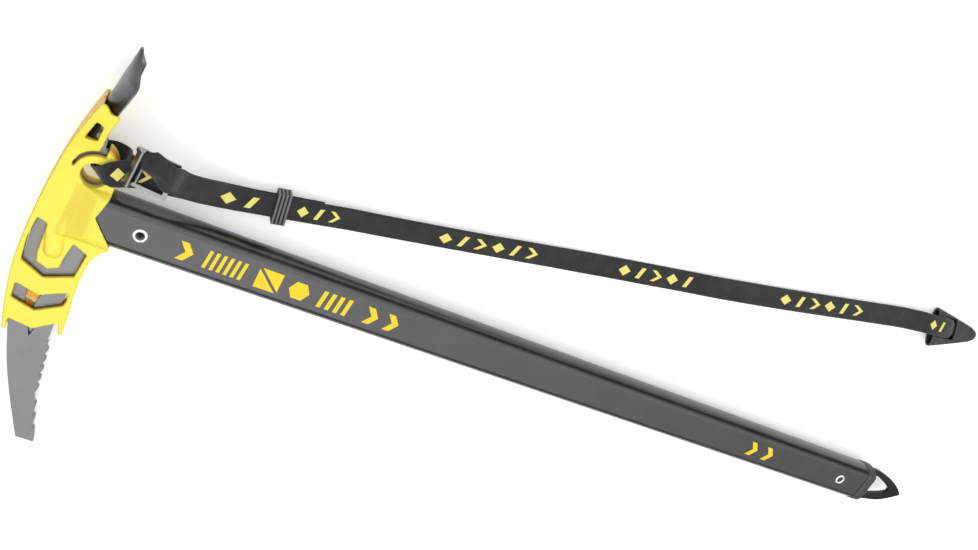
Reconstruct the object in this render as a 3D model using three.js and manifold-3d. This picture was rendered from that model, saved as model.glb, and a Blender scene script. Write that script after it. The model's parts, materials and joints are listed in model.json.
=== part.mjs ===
// Walking ice axe with a moulded head cover and a webbing leash, in millimetres, +Z up.
// The axe lies on its side on the ground plane z = 0, with its shaft along +X from head to spike.
import * as THREE from "three";
import { mergeVertices } from "three/addons/utils/BufferGeometryUtils.js";
import Module from "manifold-3d";

const wasm = await Module();
wasm.setup();

// Driving dimensions. Inside the axe, X runs from head to spike, Y to the adze and Z across the head.
const gap = 0.3; // clearance between touching pieces
const plateHalf = 2; // half thickness of the steel head plate
const shaft = { start: -26, end: 556.7, halfWidth: 14.75, halfHeight: 10, flatHalf: 8.5, wall: 1.8 };
const rivetX = { head: 0, spike: 533.2 };
const eyelet = { bore: 2.1, shank: 2.8, flange: 3.7, rim: 0.7 };
const eye = { x: -31.6, y: 21.9, radius: 6.6 }; // round hole that takes a carabiner or a leash
const collar = { length: 9, proud: 0.6, slotHalfWidth: 14.1 };
const spikeTip = 608.3;
const spikeHalf = 1.5; // half thickness of the spike plate
const webbing = { width: 15, thickness: 1.5 };

const steel = { color: 0x9a9a98, roughness: 0.45, metalness: 0.9 };
const darkSteel = { color: 0x55565a, roughness: 0.35, metalness: 0.9 };
const yellowPlastic = { color: 0xfbd93f, roughness: 0.45, metalness: 0 };
const anodised = { color: 0x3c3c3d, roughness: 0.4, metalness: 0.7 };
const brightMetal = { color: 0xc9cacc, roughness: 0.25, metalness: 1 };
const greyPlastic = { color: 0x5d5e60, roughness: 0.6, metalness: 0 };
const blackWebbing = { color: 0x242326, roughness: 0.9, metalness: 0 };
const blackRubber = { color: 0x2b2b2c, roughness: 0.7, metalness: 0 };

// Points that touch the ground when the axe lies on its side, in the axe's own frame.
const groundPoints = { adzeCorner: [-28.8, 79, -23.3], pickTip: [-9.2, -152.2, -2], collarEdge: [563.8, -8.5, -10.6] };

const part = new THREE.Group();
const axe = new THREE.Group();
const leash = new THREE.Group(); // laid out from the foot of the head rivet's axis on the ground
part.add(axe, leash);

// ---- solids and meshes ----

function toSolid(geometry) {
  const bare = geometry.index ? geometry.toNonIndexed() : geometry.clone();
  bare.deleteAttribute("normal");
  bare.deleteAttribute("uv");
  const merged = mergeVertices(bare, 1e-4);
  const vertProperties = new Float32Array(merged.attributes.position.array);
  const triVerts = new Uint32Array(merged.index.array);
  return new wasm.Manifold(new wasm.Mesh({ numProp: 3, vertProperties, triVerts }));
}

function toGeometry(solid) {
  const mesh = solid.getMesh();
  const positions = new Float32Array(mesh.numVert * 3);
  for (let i = 0; i < mesh.numVert; i++) {
    positions.set(mesh.vertProperties.subarray(i * mesh.numProp, i * mesh.numProp + 3), i * 3);
  }
  const geometry = new THREE.BufferGeometry();
  geometry.setAttribute("position", new THREE.BufferAttribute(positions, 3));
  geometry.setIndex(new THREE.BufferAttribute(new Uint32Array(mesh.triVerts), 1));
  const faceted = geometry.toNonIndexed();
  faceted.computeVertexNormals();
  return faceted;
}

function addPiece(group, name, shape, finish) {
  const geometry = shape.isBufferGeometry ? shape : toGeometry(shape);
  const mesh = new THREE.Mesh(geometry, new THREE.MeshStandardMaterial(finish));
  mesh.name = name;
  group.add(mesh);
  return mesh;
}

const shapeOf = (points) => new THREE.Shape(points.map(([x, y]) => new THREE.Vector2(x, y)));

// A flat slab between two heights from a shape in the XY plane.
function slab(shape, low, high, curveSegments = 12) {
  const options = { depth: high - low, bevelEnabled: false, curveSegments };
  return toSolid(new THREE.ExtrudeGeometry(shape, options).translate(0, 0, low));
}

// A bar along X from a shape in the YZ plane.
function barAlongX(shape, from, to, curveSegments = 12) {
  const geometry = new THREE.ExtrudeGeometry(shape, { depth: to - from, bevelEnabled: false, curveSegments });
  const turn = new THREE.Matrix4().makeBasis(
    new THREE.Vector3(0, 1, 0), new THREE.Vector3(0, 0, 1), new THREE.Vector3(1, 0, 0));
  return toSolid(geometry.applyMatrix4(turn).translate(from, 0, 0));
}

// A bar along Y from a shape in the ZX plane.
function barAlongY(shape, from, to) {
  const geometry = new THREE.ExtrudeGeometry(shape, { depth: to - from, bevelEnabled: false });
  const turn = new THREE.Matrix4().makeBasis(
    new THREE.Vector3(0, 0, 1), new THREE.Vector3(1, 0, 0), new THREE.Vector3(0, 1, 0));
  return toSolid(geometry.applyMatrix4(turn).translate(0, from, 0));
}

function pinAlongZ(x, y, radius, low, high, sides = 24) {
  const geometry = new THREE.CylinderGeometry(radius, radius, high - low, sides).rotateX(Math.PI / 2);
  return toSolid(geometry.translate(x, y, (low + high) / 2));
}

function block(low, high) {
  const size = high.map((value, i) => value - low[i]);
  const middle = high.map((value, i) => (value + low[i]) / 2);
  return toSolid(new THREE.BoxGeometry(...size).translate(...middle));
}

// Moves each side of an outline outwards by a distance; the points run counter-clockwise.
function offsetOutline(points, distance) {
  return points.map((point, i) => {
    const before = points[(i + points.length - 1) % points.length];
    const after = points[(i + 1) % points.length];
    const inDir = new THREE.Vector2(point[0] - before[0], point[1] - before[1]).normalize();
    const outDir = new THREE.Vector2(after[0] - point[0], after[1] - point[1]).normalize();
    const miter = new THREE.Vector2(inDir.y + outDir.y, -inDir.x - outDir.x).normalize();
    const stretch = Math.min(2, 1 / Math.max(0.5, miter.dot(new THREE.Vector2(inDir.y, -inDir.x))));
    return [point[0] + miter.x * distance * stretch, point[1] + miter.y * distance * stretch];
  });
}

// Points of a smooth curve through the given ones, ends included.
function smooth(points, steps) {
  const curve = new THREE.SplineCurve(points.map(([x, y]) => new THREE.Vector2(x, y)));
  return curve.getPoints(steps).map((p) => [p.x, p.y]);
}

// Flattened oval: flat faces at plus and minus height, elliptical ends at plus and minus width.
function ovalPoints(halfWidth, halfHeight, flatHalf, steps = 8) {
  const quarter = [];
  for (let i = 0; i <= steps; i++) {
    const angle = (i / steps) * (Math.PI / 2);
    quarter.push([flatHalf + (halfWidth - flatHalf) * Math.cos(angle), halfHeight * Math.sin(angle)]);
  }
  const left = quarter.map(([y, z]) => [-y, z]).reverse();
  const upper = [...quarter, ...left];
  const lower = upper.slice(1, -1).map(([y, z]) => [y, -z]).reverse();
  return [...upper, ...lower];
}

// ---- steel head: pick, tang, adze ----

const pickSpine = smooth([[-49.2, -40], [-46.9, -68], [-39.8, -97.5], [-31, -123], [-19.4, -151.3]], 16);
const gripTeeth = [-88.5, -95, -101.5, -108, -114.5]; // tips of the hooked teeth along the pick
const tipTeeth = [-126, -134.5, -143]; // small notches near the tip

function pickTeeth() {
  const edge = [[-9.2, -152.2]];
  const notch = 1.6;
  for (const y of [...tipTeeth].reverse()) {
    const tipX = -9.2 - (y + 152.2) * 0.235;
    edge.push([tipX, y - 0.4], [tipX - notch, y + 0.6]);
  }
  edge.push([-18.6, -119.5]);
  for (const y of [...gripTeeth].reverse()) {
    const tipX = -18.4 - (y + 114.5) * 0.105;
    edge.push([tipX + 0.9, y - 0.6], [tipX - 1.2, y + 1.2], [tipX - 0.6, y + 3.4]);
  }
  edge.push([-22.4, -84.5]);
  return edge;
}

const plateOutline = [
  ...pickSpine,
  ...pickTeeth(),
  [-22.8, -60], [-22, -40], [-21.6, -26], [-19, -20.5], [-15, -17.5],
  [-15.4, -15.2], [-26.4, -15.2], [-26.4, -11.4], [21.5, -11.4], [21.5, 11.4], [-26.4, 11.4],
  [-26.4, 15.2], [-22.8, 15.2], [-22.6, 27],
  ...smooth([[-24.6, 31.6], [-27.4, 34.3], [-31.2, 35.6]], 4),
  [-31.4, 40.5], [-33, 43], [-33, 56], [-37, 56], [-38, 40],
  [-42.6, 24], [-46.4, 2], [-50.2, -20],
];
const snapSlot = [[-42.5, -50], [-40.4, -66.5], [-36.2, -67.6], [-32.8, -50]];
const tipSlot = [[-36.4, -74], [-32.4, -83.5], [-30.4, -74]];

function headPlate() {
  return slab(shapeOf(plateOutline), -plateHalf, plateHalf)
    .subtract(pinAlongZ(eye.x, eye.y, eye.radius + 0.8, -9, 9, 32))
    .subtract(slab(shapeOf(snapSlot), -9, 9))
    .subtract(slab(shapeOf(tipSlot), -9, 9))
    .subtract(pinAlongZ(rivetX.head, 0, eyelet.shank + gap, -9, 9))
    .subtract(joinedAdzeRivetHoles());
}

// The adze is a gouge-shaped sheet: [crest x, crest y, half width, depth of the scoop, bend angle].
const adzeStations = [
  [-41.9, 40, 6.2, 8.6, 84], [-41.1, 47, 6.4, 8.6, 82], [-40.3, 54, 8.2, 8.2, 78], [-39.4, 60, 11.2, 7.8, 70],
  [-37.6, 69, 16.4, 7.7, 64], [-36.5, 75, 21, 7.5, 60], [-35.8, 79, 23.3, 7, 57], [-35.4, 80.6, 21.5, 6.2, 55],
  [-34.9, 83.5, 15.6, 4.6, 52], [-34.5, 86, 10.6, 3.4, 48], [-33.9, 89, 5.8, 2, 44], [-33.3, 92.6, 2, 0.8, 40],
];
const adzeSheet = { stem: 2, blade: 2.6, edge: 0.7 };
const adzeRivets = [[-35.4, 44, 7.4], [-35.2, 50, 8.2]]; // [x, y, half length]
const stemRivet = { radius: 1.2, head: 2.1, headDepth: 0.8 };

function adzeSection([x, y, halfWidth, depth, bend], thickness, grow) {
  const steps = 12;
  const full = THREE.MathUtils.degToRad(bend);
  const spread = full * (1 + (1.6 * grow) / halfWidth);
  const outer = [];
  const inner = [];
  for (let i = 0; i <= steps; i++) {
    const angle = spread * ((2 * i) / steps - 1);
    const z = (halfWidth * Math.sin(angle)) / Math.sin(full);
    const drop = (depth * (1 - Math.cos(angle))) / (1 - Math.cos(full));
    const outward = new THREE.Vector2(-Math.cos(angle), Math.sin(angle));
    outer.push(new THREE.Vector3(x + drop + outward.x * grow, y, z + outward.y * grow));
    const inset = thickness + grow;
    inner.push(new THREE.Vector3(x + drop - outward.x * inset, y, z - outward.y * inset));
  }
  return [...outer, ...inner.reverse()];
}

// Joins rings of equal point count into one closed skin.
function skinOver(rings) {
  const count = rings[0].length;
  const positions = rings.flat().flatMap((p) => [p.x, p.y, p.z]);
  const faces = [];
  for (let r = 0; r + 1 < rings.length; r++) {
    for (let i = 0; i < count; i++) {
      const a = r * count + i;
      const b = r * count + ((i + 1) % count);
      faces.push(a, b, b + count, a, b + count, a + count);
    }
  }
  const last = (rings.length - 1) * count;
  const half = count / 2;
  for (let i = 0; i + 1 < half; i++) { // flat caps, strip by strip across the sheet
    const j = count - 1 - i;
    faces.push(i, j, i + 1, i + 1, j, j - 1);
    faces.push(last + i, last + i + 1, last + j, last + i + 1, last + j - 1, last + j);
  }
  const geometry = new THREE.BufferGeometry();
  geometry.setAttribute("position", new THREE.BufferAttribute(new Float32Array(positions), 3));
  geometry.setIndex(faces);
  const solid = toSolid(geometry);
  if (solid.volume() > 0) return solid;
  for (let i = 0; i < faces.length; i += 3) [faces[i], faces[i + 1]] = [faces[i + 1], faces[i]];
  geometry.setIndex(faces);
  return toSolid(geometry);
}

function adzeThickness(y) {
  if (y < 56) return adzeSheet.stem;
  if (y < 84) return adzeSheet.blade;
  return THREE.MathUtils.mapLinear(y, 84, 92.6, adzeSheet.blade, adzeSheet.edge);
}

function adzeSkin(grow) {
  const [root, ...rest] = adzeStations;
  const deeper = [root[0], root[1] - grow, ...root.slice(2)];
  return skinOver([deeper, ...rest].map((station) => adzeSection(station, adzeThickness(station[1]), grow)));
}

function joinedAdzeRivetHoles() {
  const [first, second] = adzeRivets.map(([x, y]) => pinAlongZ(x, y, stemRivet.radius + gap, -20, 20, 16));
  return first.add(second);
}

function adzeRivet([x, y, reach]) {
  const { radius, head, headDepth } = stemRivet;
  return pinAlongZ(x, y, radius, -reach, reach, 16)
    .add(pinAlongZ(x, y, head, reach - headDepth, reach, 16))
    .add(pinAlongZ(x, y, head, -reach, headDepth - reach, 16));
}

// ---- moulded head cover, in two halves ----

const coverSpine = smooth([[-40.6, 62], [-44.1, 50], [-48.9, 28], [-52.3, -3.4], [-53.3, -35], [-51.3, -58], [-46.9, -82]], 24);
const coverOutline = [
  ...coverSpine,
  [-44.9, -82], [-45.3, -74.6], [-32.2, -77], [-20.9, -69], [-19, -76.6], [-17, -76.6],
  ...smooth([[-17.4, -66], [-18.6, -54], [-19, -42], [-18.4, -30], [-16.4, -22.6], [-11.4, -17]], 10),
  [-11.4, -11], [-9, 0], [-20, 14.4], [-20.2, 21],
  ...smooth([[-21, 27], [-23.4, 32.4], [-27, 36], [-30.6, 37.2]], 6),
  [-32.8, 40.7], [-32, 49.6], [-29.9, 57.2], [-30.6, 58.4], [-34.6, 58.4], [-37.6, 62],
];
const shaftMouth = [[-23.6, 1.6], [-20.1, 14.3], [-20.4, 24], [4, 24], [4, -24], [-11.4, -17.2], [-12.7, -11.2]];
const thumbWindow = [
  [-49.4, -11], [-50.6, -24.5], [-49.6, -38], [-36.7, -44.6], [-22.5, -38.8], [-20.6, -23.4], [-28.6, -19.8],
  [-30.4, -29.6], [-30.8, -36], [-36.1, -38.7], [-42.5, -36.1], [-43.8, -30.6], [-43.9, -13],
];
const bandWindow = [
  [-48.2, -52.1], [-47.6, -61.7], [-34.8, -65.7], [-22.2, -58.1], [-21.3, -54.5], [-22.1, -49.3], [-35.4, -55.7],
];
const adzeWindow = [[-42.3, 40.1], [-36.3, 40.9], [-35.7, 50.1], [-39.3, 51.7]];
const flankHeights = [[-90, 4.8], [-50, 5], [-20, 5.6], [8, 6.4], [32, 6.8], [42, 9.2], [52, 11.8], [64, 14.2]]; // [y, half height]
const socketHeights = [[-50, 4.6], [-40, 5.8], [-32, 8.6], [-26, 11], [-22, 11.7], [-4, 11.7]]; // [x, half height]

// A cut around the leash eye that bares an arc of the steel plate and opens at the edge.
function crescentCut() {
  return pinAlongZ(eye.x + 0.6, eye.y + 1.6, 12.4, -20, 20, 48)
    .subtract(pinAlongZ(eye.x, eye.y, 10.8, -30, 30, 48))
    .intersect(block([-60, eye.y, -20], [-29.6, 60, 20]))
    .add(slab(shapeOf([[-34, 33], [-29.4, 33.6], [-29.6, 42], [-32.6, 40.2]]), -20, 20));
}

const mirrored = (heights) => [...heights, ...heights.map(([a, b]) => [a, -b]).reverse()];

function coverBody() {
  const flank = slab(shapeOf(coverOutline), -16, 16)
    .intersect(barAlongX(shapeOf(mirrored(flankHeights)), -60, 0));
  const swelling = barAlongY(shapeOf(mirrored(socketHeights).map(([x, z]) => [z, x])), -17.6, 17.6)
    .intersect(barAlongX(shapeOf(ovalPoints(17, 11.7, 9.5)), -50, -4));
  return flank.add(swelling)
    .subtract(slab(shapeOf(shaftMouth), -20, 20))
    .subtract(barAlongX(shapeOf(ovalPoints(shaft.halfWidth + gap, shaft.halfHeight + gap, shaft.flatHalf)), shaft.start - gap, 10))
    .subtract(slab(shapeOf(offsetOutline(plateOutline, gap)), -plateHalf - gap, plateHalf + gap))
    .subtract(adzeCavity())
    .subtract(pinAlongZ(eye.x, eye.y, eye.radius, -20, 20, 32))
    .subtract(slab(shapeOf(thumbWindow), -20, 20))
    .subtract(slab(shapeOf(bandWindow), -20, 20))
    .subtract(slab(shapeOf(adzeWindow), -20, 20))
    .subtract(crescentCut());
}

// Room for the adze stem and its rivets, open at the adze end.
function adzeCavity() {
  const [lower, upper] = adzeRivets
    .map(([x, y, reach]) => pinAlongZ(x, y, stemRivet.head + gap, -reach - gap, reach + gap, 16));
  const channel = slab(shapeOf([[-40.9, 39.4], [-29, 39.4], [-29, 70], [-38.6, 70]]), -20, 20)
    .intersect(barAlongX(shapeOf(mirrored([[38, 3.4], [46, 3.6], [53, 5.6], [60, 9.8], [70, 15]])), -60, 0));
  return adzeSkin(gap).add(lower).add(upper).add(channel);
}

function snapBoss() {
  return slab(shapeOf([[-41.9, -50.6], [-40.9, -60], [-35.4, -60.6], [-33.5, -50.6]]), -4.9, plateHalf - gap);
}

// ---- shaft, its inserts and its rivets ----

function shaftTube() {
  const inner = ovalPoints(shaft.halfWidth - shaft.wall, shaft.halfHeight - shaft.wall, shaft.flatHalf - 0.6);
  const outer = shapeOf(ovalPoints(shaft.halfWidth, shaft.halfHeight, shaft.flatHalf));
  outer.holes.push(new THREE.Path(inner.map(([y, z]) => new THREE.Vector2(y, z))));
  const tube = barAlongX(outer, shaft.start, shaft.end);
  const holes = Object.values(rivetX).map((x) => pinAlongZ(x, 0, eyelet.shank + gap, -15, 15));
  return tube.subtract(holes[0]).subtract(holes[1]);
}

function headSpacer(side) {
  const top = shaft.halfHeight - shaft.wall - gap;
  const core = barAlongX(shapeOf(ovalPoints(12.4, top, 7.6)), -22, 20)
    .subtract(pinAlongZ(rivetX.head, 0, eyelet.shank + gap, -15, 15));
  const keep = block([-40, -20, plateHalf + gap], [40, 20, 20]);
  return side > 0 ? core.intersect(keep) : core.intersect(keep.rotate([180, 0, 0]));
}

// A tubular rivet through the shaft with a rolled flange on each face.
function tubularRivet(x) {
  const face = shaft.halfHeight + 0.05;
  const top = face + eyelet.rim;
  const half = [
    [eyelet.bore, 0], [eyelet.shank, 0], [eyelet.shank, face], [eyelet.flange, face], [eyelet.flange, face + 0.25],
    [eyelet.flange - 0.6, top], [eyelet.bore + 0.5, top], [eyelet.bore, top - 0.4],
  ];
  const lower = half.slice(2).map(([r, z]) => [r, -z]).reverse();
  const profile = [...lower, ...half.slice(2)];
  const points = [...profile, profile[0]].map(([r, z]) => new THREE.Vector2(r, z));
  const ring = new THREE.LatheGeometry(points, 28).rotateX(Math.PI / 2).translate(x, 0, 0);
  return toSolid(ring);
}

// ---- spike end ----

const spikeOuter = [
  [522, -11], [560, -11], [566, -13.9],
  ...smooth([[573, -13.9], [590, -10.6], [600.6, -5.6], [spikeTip, -0.4]], 10),
  ...smooth([[spikeTip, 0.6], [603.3, 4.4], [591.6, 9.8], [574, 13.9]], 10),
  [566, 13.9], [560, 11], [522, 11],
];
const spikeEye = [
  [562, -8.2], ...smooth([[577, -7.6], [590, -3.4], [595, -0.6]], 5),
  ...smooth([[594.6, 1.6], [588, 5], [576, 9]], 5), [562, 9.4],
];

function spikeBlade() {
  return slab(shapeOf(spikeOuter), -spikeHalf, spikeHalf)
    .subtract(slab(shapeOf(spikeEye), -9, 9))
    .subtract(pinAlongZ(rivetX.spike, 0, eyelet.shank + gap, -9, 9));
}

function spikePlug() {
  const inside = ovalPoints(shaft.halfWidth - shaft.wall - gap, shaft.halfHeight - shaft.wall - gap, shaft.flatHalf - 0.6);
  const lip = shaft.end + gap;
  const halfWidth = shaft.halfWidth + collar.proud;
  const halfHeight = shaft.halfHeight + collar.proud;
  const rings = [[0, 0], [collar.length - 2.2, 0], [collar.length - 0.6, 0.9], [collar.length, 2.2]]
    .map(([step, inset]) => ovalPoints(halfWidth - inset, halfHeight - inset, shaft.flatHalf)
      .map(([y, z]) => new THREE.Vector3(lip + step, y, z)));
  const slot = spikeHalf + gap;
  const cheekGap = block([rivetX.spike - 13, -11.4, -slot], [lip + 5, 11.4, slot]);
  const legGaps = block([rivetX.spike + 20, -collar.slotHalfWidth, -slot], [lip + 20, collar.slotHalfWidth, slot])
    .subtract(block([lip, -7.6, -9], [lip + 20, 7.6, 9]));
  return capped(rings)
    .add(barAlongX(shapeOf(inside), rivetX.spike - 15, lip + 1))
    .subtract(cheekGap)
    .subtract(legGaps)
    .subtract(pinAlongZ(rivetX.spike, 0, eyelet.shank + gap, -15, 15));
}

// A solid through convex rings, closed with a fan at each end.
function capped(rings) {
  const count = rings[0].length;
  const positions = rings.flat().flatMap((p) => [p.x, p.y, p.z]);
  const faces = [];
  for (let r = 0; r + 1 < rings.length; r++) {
    for (let i = 0; i < count; i++) {
      const a = r * count + i;
      const b = r * count + ((i + 1) % count);
      faces.push(a, b, b + count, a, b + count, a + count);
    }
  }
  const last = (rings.length - 1) * count;
  for (let i = 1; i + 1 < count; i++) {
    faces.push(0, i + 1, i, last, last + i, last + i + 1);
  }
  const geometry = new THREE.BufferGeometry();
  geometry.setAttribute("position", new THREE.BufferAttribute(new Float32Array(positions), 3));
  geometry.setIndex(faces);
  const solid = toSolid(geometry);
  if (solid.volume() > 0) return solid;
  for (let i = 0; i < faces.length; i += 3) [faces[i], faces[i + 1]] = [faces[i + 1], faces[i]];
  geometry.setIndex(faces);
  return toSolid(geometry);
}

// ---- leash ----

// Each row is [x, y, z, side x, side y, side z, width]: a point on the middle of the strap, the way across it
// and its width there, which shrinks where the webbing is bunched up in the eye.
const flat = webbing.width;
const mainRows = [
  [-3, 37.2, 32.3, -0.6, 0.8, 0, 14], [-6.5, 38.2, 32.4, -0.6, 0.8, 0, 13.4], [-9, 39.1, 33.8, -0.6, 0.8, 0, 13.2],
  [-7.6, 38.9, 35.6, -0.58, 0.81, 0, 14.4], [-4.2, 38.2, 37.1, -0.4, 0.92, 0, flat], [-0.5, 37.6, 37.6, -0.2, 0.98, 0, flat],
  [3, 37.2, 36.3, 0, 1, 0, flat], [5.8, 36.7, 33.4, 0.05, 1, 0, flat], [7.5, 35.8, 30, 0.05, 1, 0, flat],
  [9.6, 34.6, 27.4, 0.03, 1, 0, flat], [13, 33.8, 25, 0, 1, 0.03, flat], [20, 33, 20.8, 0, 1, 0.08, flat],
  [29, 32.5, 15.4, -0.03, 1, 0.14, flat], [38, 32.6, 11.2, -0.1, 0.98, 0.2, flat], [50, 34, 8.8, -0.17, 0.95, 0.26, flat],
  [58, 35.5, 8.35, -0.17, 0.95, 0.26, flat], [66, 37, 7.9, -0.17, 0.95, 0.26, flat], [74, 38.5, 7.45, -0.17, 0.95, 0.26, flat],
  [82, 40, 7, -0.17, 0.95, 0.26, flat], [90, 41.5, 6.55, -0.17, 0.95, 0.26, flat], [104, 44, 5, -0.18, 0.95, 0.26, flat],
  [121, 46.7, 3.5, -0.19, 0.95, 0.26, flat], [139, 50, 2.9, -0.19, 0.95, 0.26, flat], [186, 59.3, 2.7, -0.19, 0.95, 0.24, flat],
  [226, 67.4, 2, -0.2, 0.97, 0.14, flat], [268, 75.7, 1.1, -0.2, 0.98, 0.02, flat], [313, 84.6, 1.3, -0.2, 0.98, -0.06, flat],
  [337, 89.5, 1.9, -0.21, 0.97, -0.08, flat], [350, 92.4, 3.5, -0.21, 0.97, -0.1, flat], [372, 96.9, 3.8, -0.21, 0.97, -0.12, flat],
  [408, 104.7, 4.2, -0.22, 0.96, -0.18, flat], [446, 113.4, 4.6, -0.22, 0.95, -0.22, flat],
  [486, 122.6, 4.8, -0.22, 0.95, -0.22, flat], [512, 128.6, 5.6, -0.22, 0.95, -0.22, flat],
  [526, 131.6, 7.4, -0.19, 0.95, -0.21, flat], [536.9, 133.8, 9.3, -0.17, 0.96, -0.21, flat],
  [544.8, 135, 9.6, -0.17, 0.96, -0.21, flat], [551.7, 136, 9.2, -0.17, 0.96, -0.21, flat],
  [556.6, 136.6, 8.2, -0.17, 0.96, -0.21, 14], [560.1, 136.7, 6.4, -0.17, 0.96, -0.21, 11.5],
  [563, 136.9, 5.2, -0.17, 0.96, -0.21, 9],
];
const hitchRows = [
  [1, 32.6, 24.8, 0, 1, 0, flat], [-6, 32.2, 25, 0, 1, 0, flat], [-12, 31.4, 24.9, 0, 1, 0, flat],
  [-16.6, 30.8, 22.2, 0, 1, 0, flat], [-18.7, 30.5, 17.2, 0, 1, 0, flat], [-19.2, 30.6, 12.2, 0, 1, 0, flat],
  [-21.3, 30.9, 9.9, 0, 1, 0, flat], [-25.5, 31.3, 9.4, 0, 1, 0, flat], [-30, 31, 9.2, -0.3, 0.95, 0, 13.5],
  [-33, 29, 9.2, -0.85, 0.5, 0, 11], [-32.6, 25.8, 10.6, -1, 0.15, 0, 9.6], [-31.3, 23.7, 15, -0.92, 0.4, 0, 9],
  [-30.9, 23.2, 20, -0.9, 0.44, 0, 9], [-30.2, 23.2, 24.4, -0.8, 0.6, 0, 8.8], [-28.1, 24, 27.9, -0.61, 0.79, 0, 10.4],
  [-24, 26.4, 28.6, -0.4, 0.92, 0, 13.6], [-19, 28.8, 27.9, -0.2, 0.98, 0, flat], [-12, 31, 27.2, -0.12, 1, 0, flat],
  [-4, 32.4, 26.9, -0.05, 1, 0, flat], [3.6, 33, 26.6, 0, 1, 0, flat], [9, 33.2, 24.9, 0, 1, 0, flat],
  [13, 33, 22.6, 0, 1, 0.03, flat], [20, 32.6, 18.4, 0, 1, 0.08, flat], [29, 32.6, 13.2, -0.03, 1, 0.14, flat],
  [38, 33, 9.2, -0.1, 0.98, 0.2, flat], [50, 34.5, 7, -0.17, 0.95, 0.26, flat], [58, 36, 6.55, -0.17, 0.95, 0.26, flat],
  [66, 37.5, 6.1, -0.17, 0.95, 0.26, flat], [74, 39, 5.65, -0.17, 0.95, 0.26, flat], [82, 40.5, 5.2, -0.17, 0.95, 0.26, flat],
  [88, 41.6, 4.9, -0.17, 0.95, 0.26, flat],
];
const returnRows = [
  [351, 91.9, 1.55, -0.21, 0.97, -0.1, flat], [372, 96.5, 1.9, -0.21, 0.97, -0.12, flat],
  [408, 104.3, 2.3, -0.22, 0.96, -0.18, flat], [446, 113, 2.7, -0.22, 0.95, -0.22, flat],
  [486, 122.2, 2.75, -0.22, 0.95, -0.22, flat], [512, 128.2, 2.9, -0.22, 0.95, -0.22, flat],
  [526, 131, 3.4, -0.19, 0.95, -0.21, flat], [536.7, 132.9, 3.8, -0.17, 0.96, -0.21, 14.6],
  [545.7, 133.9, 3.6, -0.17, 0.96, -0.21, 13], [554.6, 135.1, 3.4, -0.17, 0.96, -0.21, 11],
  [563.4, 136.6, 3.2, -0.17, 0.96, -0.21, 9],
];

// A flat strap swept through its rows, with chamfered edges.
function strap(rows) {
  const path = new THREE.CatmullRomCurve3(rows.map(([x, y, z]) => new THREE.Vector3(x, y, z)));
  const thin = webbing.thickness / 2;
  const rings = [];
  for (let i = 0; i + 1 < rows.length; i++) {
    const length = new THREE.Vector3(...rows[i]).distanceTo(new THREE.Vector3(...rows[i + 1]));
    const steps = length > 30 ? 2 : length > 9 ? 1 : 2;
    for (let k = i === 0 ? 0 : 1; k <= steps; k++) rings.push(strapRing(rows, path, i, k / steps, thin));
  }
  return capped(rings);
}

function strapRing(rows, path, i, share, thin) {
  const t = (i + share) / (rows.length - 1);
  const middle = path.getPoint(t);
  const along = path.getTangent(t);
  const across = new THREE.Vector3(...rows[i].slice(3, 6)).lerp(new THREE.Vector3(...rows[i + 1].slice(3, 6)), share);
  across.normalize();
  const up = new THREE.Vector3().crossVectors(along, across).normalize();
  const half = THREE.MathUtils.lerp(rows[i][6], rows[i + 1][6], share) / 2;
  const edge = thin * 0.5;
  const outline = [[half, -edge], [half, edge], [half - edge, thin], [edge - half, thin],
    [-half, edge], [-half, -edge], [edge - half, -thin], [half - edge, -thin]];
  return outline.map(([a, b]) => middle.clone().addScaledVector(across, a).addScaledVector(up, b));
}

// Turns and shifts a solid from a local frame (along, across, up) into the leash's frame.
function placed(solid, origin, along, across) {
  const x = new THREE.Vector3(...along).normalize();
  const z = new THREE.Vector3().crossVectors(x, new THREE.Vector3(...across)).normalize();
  const y = new THREE.Vector3().crossVectors(z, x);
  return solid.transform(new THREE.Matrix4().makeBasis(x, y, z).setPosition(...origin).elements);
}

const buckleFrame = { left: -12.5, right: 11, outer: 10.3, inner: 8.2, half: 1 };

function buckle() {
  const { left, right, outer, inner, half } = buckleFrame;
  const cheek = shapeOf([
    [half, right], [half, left + 5], [8.4, left + 3.6], [8.8, left + 2.6], [2, left], [-half, left], [-half, right],
  ]);
  const flange = shapeOf([[3.4, left + 0.6], [8.8, left + 2.6], [8.4, left + 3.8], [3, left + 1.9]]);
  const endBar = shapeOf([[half, right], [-half, right], [-half, right - 2.6], [half, right - 2.6]]);
  const solid = barAlongY(cheek, inner, outer)
    .add(barAlongY(cheek, -outer, -inner))
    .add(barAlongY(flange, -outer, outer))
    .add(barAlongY(endBar, -outer, outer))
    .add(toSolid(new THREE.CylinderGeometry(half, half, 2 * inner + 1, 16).translate(-6, 0, 0)));
  return placed(solid, [-6, 35, 30], [1, -0.07, 0], [0.07, 1, 0]);
}

const keeperSize = { length: 8, inside: [-8.6, 8], outside: [-10.6, 9.8], halfInside: 2.1, halfOutside: 3.6 };

function keeper() {
  const { length, inside, outside, halfInside, halfOutside } = keeperSize;
  const ring = block([-length / 2, outside[0], -halfOutside], [length / 2, outside[1], halfOutside])
    .subtract(block([-length, inside[0], -halfInside], [length, inside[1], halfInside]));
  return placed(ring, [65, 37.05, 7.03], [8, 1.5, -0.45], [-0.17, 0.95, 0.26]);
}

// The flattened cone at the far end: [share of the length, half width, half height] of each section.
const cone = {
  length: 46, wall: 1.5, channel: { low: -6.7, high: 9.7, floor: 3, slotStart: 10.5, slotEnd: 20.5 },
  sections: [[0, 15, 4.1], [0.3, 11.9, 4], [0.6, 8.6, 3.6], [0.83, 6, 3.1], [0.94, 3.9, 2.3], [1, 1.6, 1]],
};

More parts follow.
